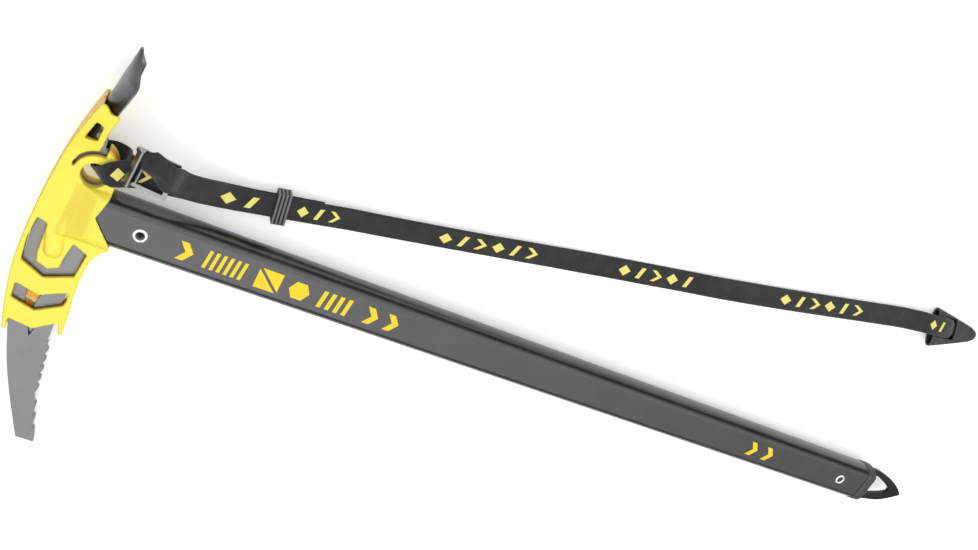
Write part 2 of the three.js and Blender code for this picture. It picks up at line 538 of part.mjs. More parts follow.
function coneRing(x, halfWidth, halfHeight, lift = 0) {
  const points = [];
  for (let i = 0; i < 20; i++) {
    const angle = (i / 20) * 2 * Math.PI;
    const bulge = (value) => Math.sign(value) * Math.abs(value) ** 0.7;
    points.push(new THREE.Vector3(x, halfWidth * bulge(Math.cos(angle)), lift + halfHeight * bulge(Math.sin(angle))));
  }
  return points;
}

function loopEnd() {
  const outer = cone.sections.map(([share, width, height]) => coneRing(share * cone.length, width, height));
  const hollow = cone.sections.slice(0, 4)
    .map(([share, width, height]) => coneRing(share * cone.length, width - cone.wall, height - cone.wall, -0.4));
  hollow[0].forEach((point) => point.setX(-1));
  const { low, high, floor, slotStart, slotEnd } = cone.channel;
  const solid = capped(outer)
    .subtract(capped(hollow))
    .subtract(block([-1, low, floor], [slotStart + 1, high, 9]))
    .subtract(block([slotStart, low, 0], [slotEnd, high, 9]));
  return placed(solid, [543, 132.3, 5.8], [45.8, 7.4, -2.2], [-0.16, 0.96, -0.21]);
}

// ---- assembly ----

// Lays the axe on its three ground points, with its shaft over the X axis.
function layDown(group) {
  const [a, b, c] = Object.values(groundPoints).map((point) => new THREE.Vector3(...point));
  const up = new THREE.Vector3().crossVectors(c.clone().sub(a), b.clone().sub(a)).normalize();
  if (up.z < 0) up.negate();
  const along = new THREE.Vector3(1, 0, 0).addScaledVector(up, -up.x).normalize();
  const across = new THREE.Vector3().crossVectors(up, along);
  group.quaternion.setFromRotationMatrix(new THREE.Matrix4().makeBasis(along, across, up).transpose());
  group.position.z = -a.dot(up);
}

// Moves both groups so that the middle of the axe stands over the origin.
function centre() {
  axe.updateMatrixWorld(true);
  const box = new THREE.Box3().setFromObject(axe, true);
  const middle = box.getCenter(new THREE.Vector3());
  for (const group of [axe, leash]) group.position.add(new THREE.Vector3(-middle.x, -middle.y, 0));
  axe.position.z -= box.min.z;
}

const cover = coverBody();
const nearSide = block([-80, -120, gap / 2], [60, 120, 40]);
const farSide = block([-80, -120, -40], [60, 120, -gap / 2]);

addPiece(axe, "head_plate", headPlate(), steel);
addPiece(axe, "adze_blade", adzeSkin(0).subtract(joinedAdzeRivetHoles()), darkSteel);
adzeRivets.forEach((place, i) => addPiece(axe, `adze_rivet_${i + 1}`, adzeRivet(place), steel));
addPiece(axe, "cover_near", cover.intersect(nearSide), yellowPlastic);
addPiece(axe, "cover_far", cover.intersect(farSide).add(snapBoss()), yellowPlastic);
addPiece(axe, "shaft_tube", shaftTube(), anodised);
addPiece(axe, "head_spacer_near", headSpacer(1), greyPlastic);
addPiece(axe, "head_spacer_far", headSpacer(-1), greyPlastic);
addPiece(axe, "head_rivet", tubularRivet(rivetX.head), brightMetal);
addPiece(axe, "spike_blade", spikeBlade(), darkSteel);
addPiece(axe, "spike_plug", spikePlug(), greyPlastic);
addPiece(axe, "spike_rivet", tubularRivet(rivetX.spike), brightMetal);
layDown(axe);
centre();

addPiece(leash, "leash_strap", strap(mainRows), blackWebbing);
addPiece(leash, "leash_tail", strap(hitchRows), blackWebbing);
addPiece(leash, "wrist_loop_return", strap(returnRows), blackWebbing);
addPiece(leash, "buckle", buckle(), brightMetal);
addPiece(leash, "keeper", keeper(), blackRubber);
addPiece(leash, "loop_end", loopEnd(), blackRubber);

export default part;
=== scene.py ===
import json
import math

import bmesh
import bpy
import numpy as np
from mathutils import Matrix, Vector


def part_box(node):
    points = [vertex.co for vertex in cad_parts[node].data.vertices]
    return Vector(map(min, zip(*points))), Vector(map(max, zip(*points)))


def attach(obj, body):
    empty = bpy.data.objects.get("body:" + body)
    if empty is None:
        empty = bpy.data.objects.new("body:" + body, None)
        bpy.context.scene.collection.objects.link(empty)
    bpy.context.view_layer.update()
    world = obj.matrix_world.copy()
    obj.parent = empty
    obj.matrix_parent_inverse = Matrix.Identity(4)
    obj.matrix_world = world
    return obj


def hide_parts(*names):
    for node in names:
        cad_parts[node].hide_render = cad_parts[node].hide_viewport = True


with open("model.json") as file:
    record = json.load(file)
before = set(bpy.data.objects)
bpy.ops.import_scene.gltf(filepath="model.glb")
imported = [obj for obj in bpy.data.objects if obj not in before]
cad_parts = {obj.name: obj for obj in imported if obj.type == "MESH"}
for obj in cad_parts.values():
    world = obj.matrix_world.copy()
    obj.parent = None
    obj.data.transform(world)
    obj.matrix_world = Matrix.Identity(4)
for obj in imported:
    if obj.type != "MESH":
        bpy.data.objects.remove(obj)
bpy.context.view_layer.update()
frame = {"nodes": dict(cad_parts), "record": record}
mm = 0.001
scene = bpy.context.scene
print("frame loaded")


# Frames of reference: the axe's own (along the shaft, to the adze, out of the near side) and the leash's.
def middleOf(node):
    low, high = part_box(node)
    return (Vector(low) + Vector(high)) / 2


def mountAxis(name):
    return Vector(next(m["axis"] for m in frame["record"]["mounts"] if m["name"] == name)).normalized()


headMiddle = middleOf("head_rivet")
shaftWay = (middleOf("spike_rivet") - headMiddle).normalized()
nearWay = mountAxis("pick_near_face")
nearWay = (nearWay - shaftWay * nearWay.dot(shaftWay)).normalized()
adzeWay = nearWay.cross(shaftWay)
axeFrame = Matrix((shaftWay, adzeWay, nearWay)).transposed().to_4x4()
axeFrame.translation = headMiddle
leashFrame = Matrix.Translation((headMiddle.x, headMiddle.y, 0))


def inAxe(x, y, z):
    return axeFrame @ (Vector((x, y, z)) * mm)


# Camera
cameraSet = {
    "fromHead": (-0.03610, 0.18319, 0.50619),
    "right": (0.8511, 0.4505, 0.2670),
    "back": (-0.4037, 0.2385, 0.8832),
    "lens": 34.5,
    "sensor": 36,
}


def makeCamera(values):
    data = bpy.data.cameras.new("camera")
    data.lens = values["lens"]
    data.sensor_width = values["sensor"]
    data.clip_start = 0.01
    back = Vector(values["back"]).normalized()
    right = Vector(values["right"])
    right = (right - back * right.dot(back)).normalized()
    turn = Matrix((right, back.cross(right), back)).transposed().to_4x4()
    camera = bpy.data.objects.new("camera", data)
    camera.matrix_world = Matrix.Translation(headMiddle + Vector(values["fromHead"])) @ turn
    scene.collection.objects.link(camera)
    scene.camera = camera


makeCamera(cameraSet)
print("camera placed")


# Small makers used by every piece
def linkMesh(name, vertices, faces, smooth=True):
    mesh = bpy.data.meshes.new(name)
    mesh.from_pydata([tuple(v) for v in vertices], [], faces)
    mesh.update()
    piece = bpy.data.objects.new(name, mesh)
    scene.collection.objects.link(piece)
    if smooth:
        mesh.polygons.foreach_set("use_smooth", [True] * len(mesh.polygons))
    return piece


def fixNormals(piece):
    work = bmesh.new()
    work.from_mesh(piece.data)
    bmesh.ops.recalc_face_normals(work, faces=work.faces)
    work.to_mesh(piece.data)
    work.free()


def bridgeRings(rings, count, closed=False):
    # Faces that join each ring of points to the next, and the last to the first where closed
    faces = []
    for r in range(rings if closed else rings - 1):
        here, following = r * count, (r + 1) % rings * count
        for i in range(count):
            j = (i + 1) % count
            faces.append((here + i, here + j, following + j, following + i))
    return faces


def addFlatFigure(vertices, faces, lower, upper):
    # A closed thin figure between two like outlines
    start, count = len(vertices), len(lower)
    vertices += lower + upper
    faces.append(tuple(start + count + i for i in range(count)))
    faces.append(tuple(start + i for i in reversed(range(count))))
    for i in range(count):
        j = (i + 1) % count
        faces.append((start + i, start + j, start + count + j, start + count + i))


def copyOfNode(node, name):
    mesh = frame["nodes"][node].data.copy()
    mesh.name = name
    mesh.materials.clear()
    work = bmesh.new()
    work.from_mesh(mesh)
    bmesh.ops.remove_doubles(work, verts=work.verts, dist=2e-6)
    work.to_mesh(mesh)
    work.free()
    piece = bpy.data.objects.new(name, mesh)
    scene.collection.objects.link(piece)
    return piece


def settle(piece):
    # Live modifiers become plain geometry
    graph = bpy.context.evaluated_depsgraph_get()
    mesh = bpy.data.meshes.new_from_object(piece.evaluated_get(graph))
    old = piece.data
    piece.modifiers.clear()
    piece.data = mesh
    mesh.name = piece.name
    if old.users == 0:
        bpy.data.meshes.remove(old)
    return piece


def moulded(node, name, voxel, rounds):
    # A finer copy of a node with its edges rounded as a mould leaves them
    piece = copyOfNode(node, name)
    remesh = piece.modifiers.new("remesh", "REMESH")
    remesh.mode = "VOXEL"
    remesh.voxel_size = voxel * mm
    remesh.use_smooth_shade = True
    relax = piece.modifiers.new("relax", "SMOOTH")
    relax.factor = 0.5
    relax.iterations = rounds
    return settle(piece)


def shadeByArea(piece, angle):
    # Smooth shading in which large flat faces stay flat
    piece.data.polygons.foreach_set("use_smooth", [True] * len(piece.data.polygons))
    piece.data.set_sharp_from_angle(angle=math.radians(angle))
    normals = piece.modifiers.new("flats", "WEIGHTED_NORMAL")
    normals.weight = 80
    normals.keep_sharp = True
    return settle(piece)


def machined(node, name, bevel):
    # A copy of a node with flat faces kept and a fine bevel on every sharp edge
    piece = copyOfNode(node, name)
    work = bmesh.new()
    work.from_mesh(piece.data)
    bmesh.ops.dissolve_limit(work, angle_limit=math.radians(1.5), verts=work.verts, edges=work.edges)
    work.to_mesh(piece.data)
    work.free()
    edge = piece.modifiers.new("bevel", "BEVEL")
    edge.width = bevel * mm
    edge.segments = 2
    edge.limit_method = "ANGLE"
    edge.angle_limit = math.radians(32)
    settle(piece)
    return shadeByArea(piece, 35)


def finishPiece(piece, material, body="axe", replaced=()):
    piece.data.materials.clear()
    piece.data.materials.append(material)
    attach(piece, body)
    if replaced:
        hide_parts(*replaced)


# Shader groups and materials
def tint(red, green, blue):
    def toLinear(value):
        value /= 255
        return value / 12.92 if value <= 0.04045 else ((value + 0.055) / 1.055) ** 2.4

    return (toLinear(red), toLinear(green), toLinear(blue), 1)


def newGroup(name, inputs, outputs):
    tree = bpy.data.node_groups.new(name, "ShaderNodeTree")
    for label, kind, value in inputs:
        socket = tree.interface.new_socket(name=label, in_out="INPUT", socket_type=kind)
        if value is not None:
            socket.default_value = value
    for label, kind in outputs:
        tree.interface.new_socket(name=label, in_out="OUTPUT", socket_type=kind)
    return tree, tree.nodes.new("NodeGroupInput"), tree.nodes.new("NodeGroupOutput")


def addNode(tree, kind, inputs=(), **settings):
    node = tree.nodes.new(kind)
    for key, value in settings.items():
        setattr(node, key, value)
    for key, value in dict(inputs).items():
        if isinstance(value, bpy.types.NodeSocket):
            tree.links.new(value, node.inputs[key])
        else:
            node.inputs[key].default_value = value
    return node


def maths(tree, operation, first, second=0.0, third=0.0):
    return addNode(tree, "ShaderNodeMath", {0: first, 1: second, 2: third}, operation=operation).outputs[0]


def ramp(tree, value, low, high, start=0.0, end=1.0):
    node = addNode(tree, "ShaderNodeMapRange", {0: value, 1: low, 2: high, 3: start, 4: end})
    return node.outputs[0]


def blendColours(tree, mask, first, second):
    return addNode(tree, "ShaderNodeMix", {0: mask, 6: first, 7: second}, data_type="RGBA").outputs[2]


def makeGrainGroup():
    tree, given, made = newGroup(
        "surfaceGrain",
        [("Place", "NodeSocketVector", None), ("Grain size", "NodeSocketFloat", 0.5),
         ("Blotch size", "NodeSocketFloat", 20.0)],
        [("Grain", "NodeSocketFloat"), ("Blotch", "NodeSocketFloat")])
    for source, target, detail in (("Grain size", "Grain", 3.0), ("Blotch size", "Blotch", 2.0)):
        scale = maths(tree, "DIVIDE", 1 / mm, given.outputs[source])
        noise = addNode(tree, "ShaderNodeTexNoise",
                        {"Vector": given.outputs["Place"], "Scale": scale, "Detail": detail})
        tree.links.new(noise.outputs[0], made.inputs[target])
    return tree


def makeBrushGroup():
    # Fine parallel scratches, stretched along the first axis of the given place
    tree, given, made = newGroup(
        "brushedLines",
        [("Place", "NodeSocketVector", None), ("Pitch", "NodeSocketFloat", 0.15)],
        [("Lines", "NodeSocketFloat")])
    longer = addNode(tree, "ShaderNodeVectorMath",
                     {0: given.outputs["Place"], 1: (0.04, 1.0, 1.0)}, operation="MULTIPLY")
    scale = maths(tree, "DIVIDE", 1 / mm, given.outputs["Pitch"])
    noise = addNode(tree, "ShaderNodeTexNoise", {"Vector": longer.outputs[0], "Scale": scale, "Detail": 2.0})
    tree.links.new(noise.outputs[0], made.inputs["Lines"])
    return tree


def makeWearAndShadeGroup():
    # 1 on the outer edges of a dense mesh, 0 in its hollows. The second output is painted shade: 1 in the
    # hollows, where shade falls
    tree, given, made = newGroup(
        "edgeWear",
        [("Grain", "NodeSocketFloat", 0.5), ("Amount", "NodeSocketFloat", 1.0)],
        [("Edge", "NodeSocketFloat"), ("Hollow", "NodeSocketFloat")])
    shape = tree.nodes.new("ShaderNodeNewGeometry").outputs["Pointiness"]
    rough = maths(tree, "MULTIPLY_ADD", given.outputs["Grain"], 0.03, -0.015)
    uneven = maths(tree, "ADD", shape, rough)
    edge = maths(tree, "MULTIPLY", ramp(tree, uneven, 0.52, 0.58), given.outputs["Amount"])
    tree.links.new(edge, made.inputs["Edge"])
    tree.links.new(ramp(tree, shape, 0.49, 0.44), made.inputs["Hollow"])
    return tree


def makeWeaveGroup():
    # Webbing: small ribs across the strap, cut by rows of threads along it
    tree, given, made = newGroup(
        "webbingWeave",
        [("Place", "NodeSocketVector", None), ("Rib pitch", "NodeSocketFloat", 0.9),
         ("Thread pitch", "NodeSocketFloat", 1.1)],
        [("Height", "NodeSocketFloat"), ("Tone", "NodeSocketFloat")])
    parts = addNode(tree, "ShaderNodeSeparateXYZ", {0: given.outputs["Place"]})
    ribTurn = maths(tree, "DIVIDE", 2 * math.pi / mm, given.outputs["Rib pitch"])
    threadTurn = maths(tree, "DIVIDE", 2 * math.pi / mm, given.outputs["Thread pitch"])
    across = maths(tree, "MULTIPLY", parts.outputs[1], threadTurn)
    column = maths(tree, "SINE", across)
    shift = maths(tree, "MULTIPLY", maths(tree, "SIGN", column), math.pi / 2)
    along = maths(tree, "MULTIPLY_ADD", parts.outputs[0], ribTurn, shift)
    ribs = maths(tree, "ABSOLUTE", maths(tree, "SINE", along))
    threads = maths(tree, "ABSOLUTE", column)
    height = maths(tree, "MULTIPLY", maths(tree, "POWER", ribs, 0.6), maths(tree, "POWER", threads, 0.4))
    tree.links.new(height, made.inputs["Height"])
    noise = addNode(tree, "ShaderNodeTexNoise",
                    {"Vector": given.outputs["Place"], "Scale": 90.0, "Detail": 3.0})
    tree.links.new(maths(tree, "MULTIPLY", height, noise.outputs[0]), made.inputs["Tone"])
    return tree


grainGroup = makeGrainGroup()
brushGroup = makeBrushGroup()
wearAndShadeGroup = makeWearAndShadeGroup()
weaveGroup = makeWeaveGroup()


def startMaterial(name, **constants):
    material = bpy.data.materials.new(name)
    material.use_nodes = True
    tree = material.node_tree
    shader = tree.nodes["Principled BSDF"]
    for key, value in constants.items():
        shader.inputs[key.replace("_", " ")].default_value = value
    return material, tree, shader


def fillGroup(tree, group, inputs):
    return addNode(tree, "ShaderNodeGroup", inputs, node_tree=group)


def bumpInto(tree, shader, height, depth):
    bump = addNode(tree, "ShaderNodeBump", {"Height": height, "Distance": depth * mm})
    tree.links.new(bump.outputs[0], shader.inputs["Normal"])


def placeIn(tree, turned=True):
    # Object coordinates, turned into the axe's own directions
    place = tree.nodes.new("ShaderNodeTexCoord").outputs["Object"]
    if not turned:
        return place
    mapping = addNode(tree, "ShaderNodeMapping", {"Vector": place}, vector_type="POINT")
    back = axeFrame.inverted()
    mapping.inputs["Location"].default_value = back.translation
    mapping.inputs["Rotation"].default_value = back.to_euler()
    return mapping.outputs[0]


# The spine and recess colours are painted shade: a deeper yellow on faces turned towards the head's top, and
# orange where the cover sinks towards the plate and in its hollows
coverLook = {"face": tint(234, 222, 68), "paintedSpineShade": tint(205, 168, 48), "paintedRecessShade": tint(222, 146, 14),
             "recessShadeTop": 4.3, "recessShadeFloor": 2.2}


def makeCoverYellow(colours):
    material, tree, shader = startMaterial("coverYellow", Roughness=0.4)
    place = placeIn(tree)
    grain = fillGroup(tree, grainGroup, {"Place": place, "Grain size": 0.35, "Blotch size": 14.0})
    wearAndShade = fillGroup(tree, wearAndShadeGroup, {"Grain": grain.outputs["Grain"]})
    # Painted shade: orange on the low walls near the plate and in the mesh's hollows, where shade falls
    height = addNode(tree, "ShaderNodeSeparateXYZ", {0: place}).outputs[2]
    recessShadeDepth = ramp(tree, maths(tree, "ABSOLUTE", height), colours["recessShadeTop"] * mm, colours["recessShadeFloor"] * mm)
    paintedShadeMask = maths(tree, "MAXIMUM", recessShadeDepth, wearAndShade.outputs["Hollow"])
    # Painted shade: faces turned towards the head's top, away from the shaft, get the deeper spine yellow,
    # mixed with random blotches of tone
    spineShadeFacing = addNode(tree, "ShaderNodeVectorMath",
                     {0: tree.nodes.new("ShaderNodeNewGeometry").outputs["Normal"], 1: -shaftWay},
                     operation="DOT_PRODUCT").outputs["Value"]
    uneven = maths(tree, "MULTIPLY_ADD", grain.outputs["Blotch"], 0.3, spineShadeFacing)
    turned = ramp(tree, uneven, 0.25, 1.0, 0.1, 1.0)
    base = blendColours(tree, turned, colours["face"], colours["paintedSpineShade"])
    tree.links.new(blendColours(tree, paintedShadeMask, base, colours["paintedRecessShade"]), shader.inputs["Base Color"])
    rough = ramp(tree, grain.outputs["Blotch"], 0.3, 0.7, 0.34, 0.46)
    tree.links.new(maths(tree, "SUBTRACT", rough, maths(tree, "MULTIPLY", wearAndShade.outputs["Edge"], 0.1)),
                   shader.inputs["Roughness"])
    bumpInto(tree, shader, grain.outputs["Grain"], 0.03)
    return material


def makeMetal(name, dark, light, rough, pitch, scratch, worn=0.0):
    material, tree, shader = startMaterial(name, Metallic=1.0)
    place = placeIn(tree)
    grain = fillGroup(tree, grainGroup, {"Place": place, "Grain size": 0.6, "Blotch size": 22.0})
    lines = fillGroup(tree, brushGroup, {"Place": place, "Pitch": pitch})
    wearAndShade = fillGroup(tree, wearAndShadeGroup, {"Grain": grain.outputs["Grain"], "Amount": worn})
    blotch = maths(tree, "MULTIPLY", grain.outputs["Blotch"], 0.5)
    tone = maths(tree, "MULTIPLY_ADD", lines.outputs[0], 0.5, blotch)
    base = blendColours(tree, ramp(tree, tone, 0.35, 0.65), dark, light)
    bright = blendColours(tree, 0.5, light, (1, 1, 1, 1))
    tree.links.new(blendColours(tree, wearAndShade.outputs["Edge"], base, bright), shader.inputs["Base Color"])
    tree.links.new(ramp(tree, tone, 0.3, 0.7, rough - 0.06, rough + 0.06), shader.inputs["Roughness"])
    bumpInto(tree, shader, lines.outputs[0], scratch)
    return material


def makePlastic(name, dark, light, rough, grainSize, depth, gloss=0.5):
    material, tree, shader = startMaterial(name, Specular_IOR_Level=gloss)
    place = placeIn(tree, turned=False)
    grain = fillGroup(tree, grainGroup, {"Place": place, "Grain size": grainSize, "Blotch size": 9.0})
    wearAndShade = fillGroup(tree, wearAndShadeGroup, {"Grain": grain.outputs["Grain"], "Amount": 0.5})
    base = blendColours(tree, ramp(tree, grain.outputs["Blotch"], 0.35, 0.65), dark, light)
    worn = blendColours(tree, 0.35, light, (1, 1, 1, 1))
    tree.links.new(blendColours(tree, wearAndShade.outputs["Edge"], base, worn), shader.inputs["Base Color"])
    tree.links.new(ramp(tree, grain.outputs["Grain"], 0.3, 0.7, rough - 0.05, rough + 0.08),
                   shader.inputs["Roughness"])
    bumpInto(tree, shader, grain.outputs["Grain"], depth)
    return material


def makeWebbing(name, dark, light, ribPitch, threadPitch, depth):
    material, tree, shader = startMaterial(
        name, Sheen_Weight=0.25, Sheen_Roughness=0.5, Specular_IOR_Level=0.3)
    place = tree.nodes.new("ShaderNodeUVMap").outputs[0]
    weave = fillGroup(tree, weaveGroup, {"Place": place, "Rib pitch": ribPitch, "Thread pitch": threadPitch})
    base = blendColours(tree, ramp(tree, weave.outputs["Tone"], 0.1, 0.55), dark, light)
    tree.links.new(base, shader.inputs["Base Color"])
    tree.links.new(ramp(tree, weave.outputs["Height"], 0.0, 1.0, 0.95, 0.72), shader.inputs["Roughness"])
    bumpInto(tree, shader, weave.outputs["Height"], depth)
    return material


def makePrint(name, colour, worn, rough):
    material, tree, shader = startMaterial(name)
    place = placeIn(tree, turned=False)
    grain = fillGroup(tree, grainGroup, {"Place": place, "Grain size": 0.45, "Blotch size": 6.0})
    thin = ramp(tree, grain.outputs["Grain"], 0.58, 0.72, 0.0, 0.7)
    tree.links.new(blendColours(tree, thin, colour, worn), shader.inputs["Base Color"])
    tree.links.new(ramp(tree, grain.outputs["Grain"], 0.3, 0.7, rough - 0.05, rough + 0.1),
                   shader.inputs["Roughness"])
    bumpInto(tree, shader, grain.outputs["Grain"], 0.02)
    return material


coverYellow = makeCoverYellow(coverLook)
plateSteel = makeMetal("plateSteel", tint(120, 120, 119), tint(133, 133, 132), 0.45, 0.3, 0.008)
adzeSteel = makeMetal("adzeSteel", tint(66, 67, 69), tint(92, 93, 95), 0.3, 0.3, 0.006)
rivetSteel = makeMetal("rivetSteel", tint(80, 80, 80), tint(110, 110, 110), 0.35, 0.2, 0.01)
eyeletMetal = makeMetal("eyeletMetal", tint(232, 232, 232), tint(246, 246, 246), 0.4, 0.2, 0.003)
buckleMetal = makeMetal("buckleMetal", tint(112, 113, 115), tint(138, 139, 141), 0.27, 0.15, 0.006, 0.5)
spikeSteel = makeMetal("spikeSteel", tint(36, 36, 38), tint(54, 54, 56), 0.35, 0.3, 0.008)
shaftBlack = makeMetal("shaftBlack", tint(77, 77, 78), tint(84, 84, 85), 0.28, 0.5, 0.002)
# Near-black lining for the eyelet bores, painted shade
boreDark = makePlastic("boreDark", tint(12, 12, 12), tint(20, 20, 20), 0.7, 0.4, 0.02)
insertGrey = makePlastic("insertGrey", tint(58, 59, 61), tint(74, 75, 77), 0.6, 0.5, 0.03)
collarGrey = makePlastic("collarGrey", tint(50, 51, 52), tint(60, 61, 62), 0.55, 0.4, 0.03)
keeperRubber = makePlastic("keeperRubber", tint(18, 18, 19), tint(28, 28, 29), 0.7, 0.4, 0.04, 0.25)
coneRubber = makePlastic("coneRubber", tint(48, 48, 50), tint(62, 62, 64), 0.65, 0.4, 0.05, 0.35)
webbingBlack = makeWebbing("webbingBlack", tint(18, 17, 19), tint(52, 51, 53), 0.8, 1.25, 0.12)
stitchThread = makeWebbing("stitchThread", tint(20, 20, 20), tint(60, 60, 60), 0.4, 0.3, 0.03)
shaftPrint = makePrint("shaftPrint", tint(232, 200, 2), tint(205, 172, 2), 0.5)
strapPrint = makePrint("strapPrint", tint(222, 212, 112), tint(178, 166, 80), 0.8)
print("materials made")


# Leash: each row is a point on the middle of the strap, the way across it and its width, in millimetres.
webbing = {"width": 15, "thickness": 1.5, "step": 1.0, "folded": 40}
flat = webbing["width"]
mainRows = [
    (-3, 37.2, 32.3, -0.6, 0.8, 0, 14), (-6.5, 38.2, 32.4, -0.6, 0.8, 0, 13.4),
    (-9, 39.1, 33.8, -0.6, 0.8, 0, 13.2), (-7.6, 38.9, 35.6, -0.58, 0.81, 0, 14.4),
    (-4.2, 38.2, 37.1, -0.4, 0.92, 0, flat), (-0.5, 37.6, 37.6, -0.2, 0.98, 0, flat),
    (3, 37.2, 36.3, 0, 1, 0, flat), (5.8, 36.7, 33.4, 0.05, 1, 0, flat), (7.5, 35.8, 30, 0.05, 1, 0, flat),
    (9.6, 34.6, 27.4, 0.03, 1, 0, flat), (13, 33.8, 25, 0, 1, 0.03, flat),
    (20, 33, 20.8, 0, 1, 0.08, flat), (29, 32.5, 15.4, -0.03, 1, 0.14, flat),
    (38, 32.6, 11.2, -0.1, 0.98, 0.2, flat), (50, 34, 8.8, -0.17, 0.95, 0.26, flat),
    (58, 35.5, 8.35, -0.17, 0.95, 0.26, flat), (66, 37, 7.9, -0.17, 0.95, 0.26, flat),
    (74, 38.5, 7.45, -0.17, 0.95, 0.26, flat), (82, 40, 7, -0.17, 0.95, 0.26, flat),
    (90, 41.5, 6.55, -0.17, 0.95, 0.26, flat), (104, 44, 5, -0.18, 0.95, 0.26, flat),
    (121, 46.7, 3.5, -0.19, 0.95, 0.26, flat), (139, 50, 2.9, -0.19, 0.95, 0.26, flat),
    (186, 59.3, 2.7, -0.19, 0.95, 0.24, flat), (226, 67.4, 2, -0.2, 0.97, 0.14, flat),
    (268, 75.7, 1.1, -0.2, 0.98, 0.02, flat), (313, 84.6, 1.3, -0.2, 0.98, -0.06, flat),
    (337, 89.5, 1.9, -0.21, 0.97, -0.08, flat), (350, 92.4, 3.5, -0.21, 0.97, -0.1, flat),
    (372, 96.9, 3.8, -0.21, 0.97, -0.12, flat), (408, 104.7, 4.2, -0.22, 0.96, -0.18, flat),
    (446, 113.4, 4.6, -0.22, 0.95, -0.22, flat), (486, 122.6, 4.8, -0.22, 0.95, -0.22, flat),
    (512, 128.6, 5.6, -0.22, 0.95, -0.22, flat), (526, 131.6, 7.4, -0.19, 0.95, -0.21, flat),
    (536.9, 133.8, 9.3, -0.17, 0.96, -0.21, flat), (544.8, 135, 9.6, -0.17, 0.96, -0.21, flat),
    (551.7, 136, 9.2, -0.17, 0.96, -0.21, flat), (556.6, 136.6, 8.2, -0.17, 0.96, -0.21, 14),
    (560.1, 136.7, 6.4, -0.17, 0.96, -0.21, 11.5), (563, 136.9, 5.2, -0.17, 0.96, -0.21, 9),
]
hitchRows = [
    (1, 32.6, 24.8, 0, 1, 0, flat), (-6, 32.2, 25, 0, 1, 0, flat), (-12, 31.4, 24.9, 0, 1, 0, flat),
    (-16.6, 30.8, 22.2, 0, 1, 0, flat), (-18.7, 30.5, 17.2, 0, 1, 0, flat),
    (-19.2, 30.6, 12.2, 0, 1, 0, flat), (-21.3, 30.9, 9.9, 0, 1, 0, flat),
    (-25.5, 31.3, 9.4, 0, 1, 0, flat), (-30, 31, 9.2, -0.3, 0.95, 0, 13.5),
    (-33, 29, 9.2, -0.85, 0.5, 0, 11), (-32.6, 25.8, 10.6, -1, 0.15, 0, 9.6),
    (-31.3, 23.7, 15, -0.92, 0.4, 0, 9), (-30.9, 23.2, 20, -0.9, 0.44, 0, 9),
    (-30.2, 23.2, 24.4, -0.8, 0.6, 0, 8.8), (-28.1, 24, 27.9, -0.61, 0.79, 0, 10.4),
    (-24, 26.4, 28.6, -0.4, 0.92, 0, 13.6), (-19, 28.8, 27.9, -0.2, 0.98, 0, flat),
    (-12, 31, 27.2, -0.12, 1, 0, flat), (-4, 32.4, 26.9, -0.05, 1, 0, flat),
    (3.6, 33, 26.6, 0, 1, 0, flat), (9, 33.2, 24.9, 0, 1, 0, flat), (13, 33, 22.6, 0, 1, 0.03, flat),
    (20, 32.6, 18.4, 0, 1, 0.08, flat), (29, 32.6, 13.2, -0.03, 1, 0.14, flat),
    (38, 33, 9.2, -0.1, 0.98, 0.2, flat), (50, 34.5, 7, -0.17, 0.95, 0.26, flat),
    (58, 36, 6.55, -0.17, 0.95, 0.26, flat), (66, 37.5, 6.1, -0.17, 0.95, 0.26, flat),
    (74, 39, 5.65, -0.17, 0.95, 0.26, flat), (82, 40.5, 5.2, -0.17, 0.95, 0.26, flat),
    (88, 41.6, 4.9, -0.17, 0.95, 0.26, flat),
]
returnRows = [
    (351, 91.9, 1.55, -0.21, 0.97, -0.1, flat), (372, 96.5, 1.9, -0.21, 0.97, -0.12, flat),
    (408, 104.3, 2.3, -0.22, 0.96, -0.18, flat), (446, 113, 2.7, -0.22, 0.95, -0.22, flat),
    (486, 122.2, 2.75, -0.22, 0.95, -0.22, flat), (512, 128.2, 2.9, -0.22, 0.95, -0.22, flat),
    (526, 131, 3.4, -0.19, 0.95, -0.21, flat), (536.7, 132.9, 3.8, -0.17, 0.96, -0.21, 14.6),
    (545.7, 133.9, 3.6, -0.17, 0.96, -0.21, 13), (554.6, 135.1, 3.4, -0.17, 0.96, -0.21, 11),
    (563.4, 136.6, 3.2, -0.17, 0.96, -0.21, 9),
]


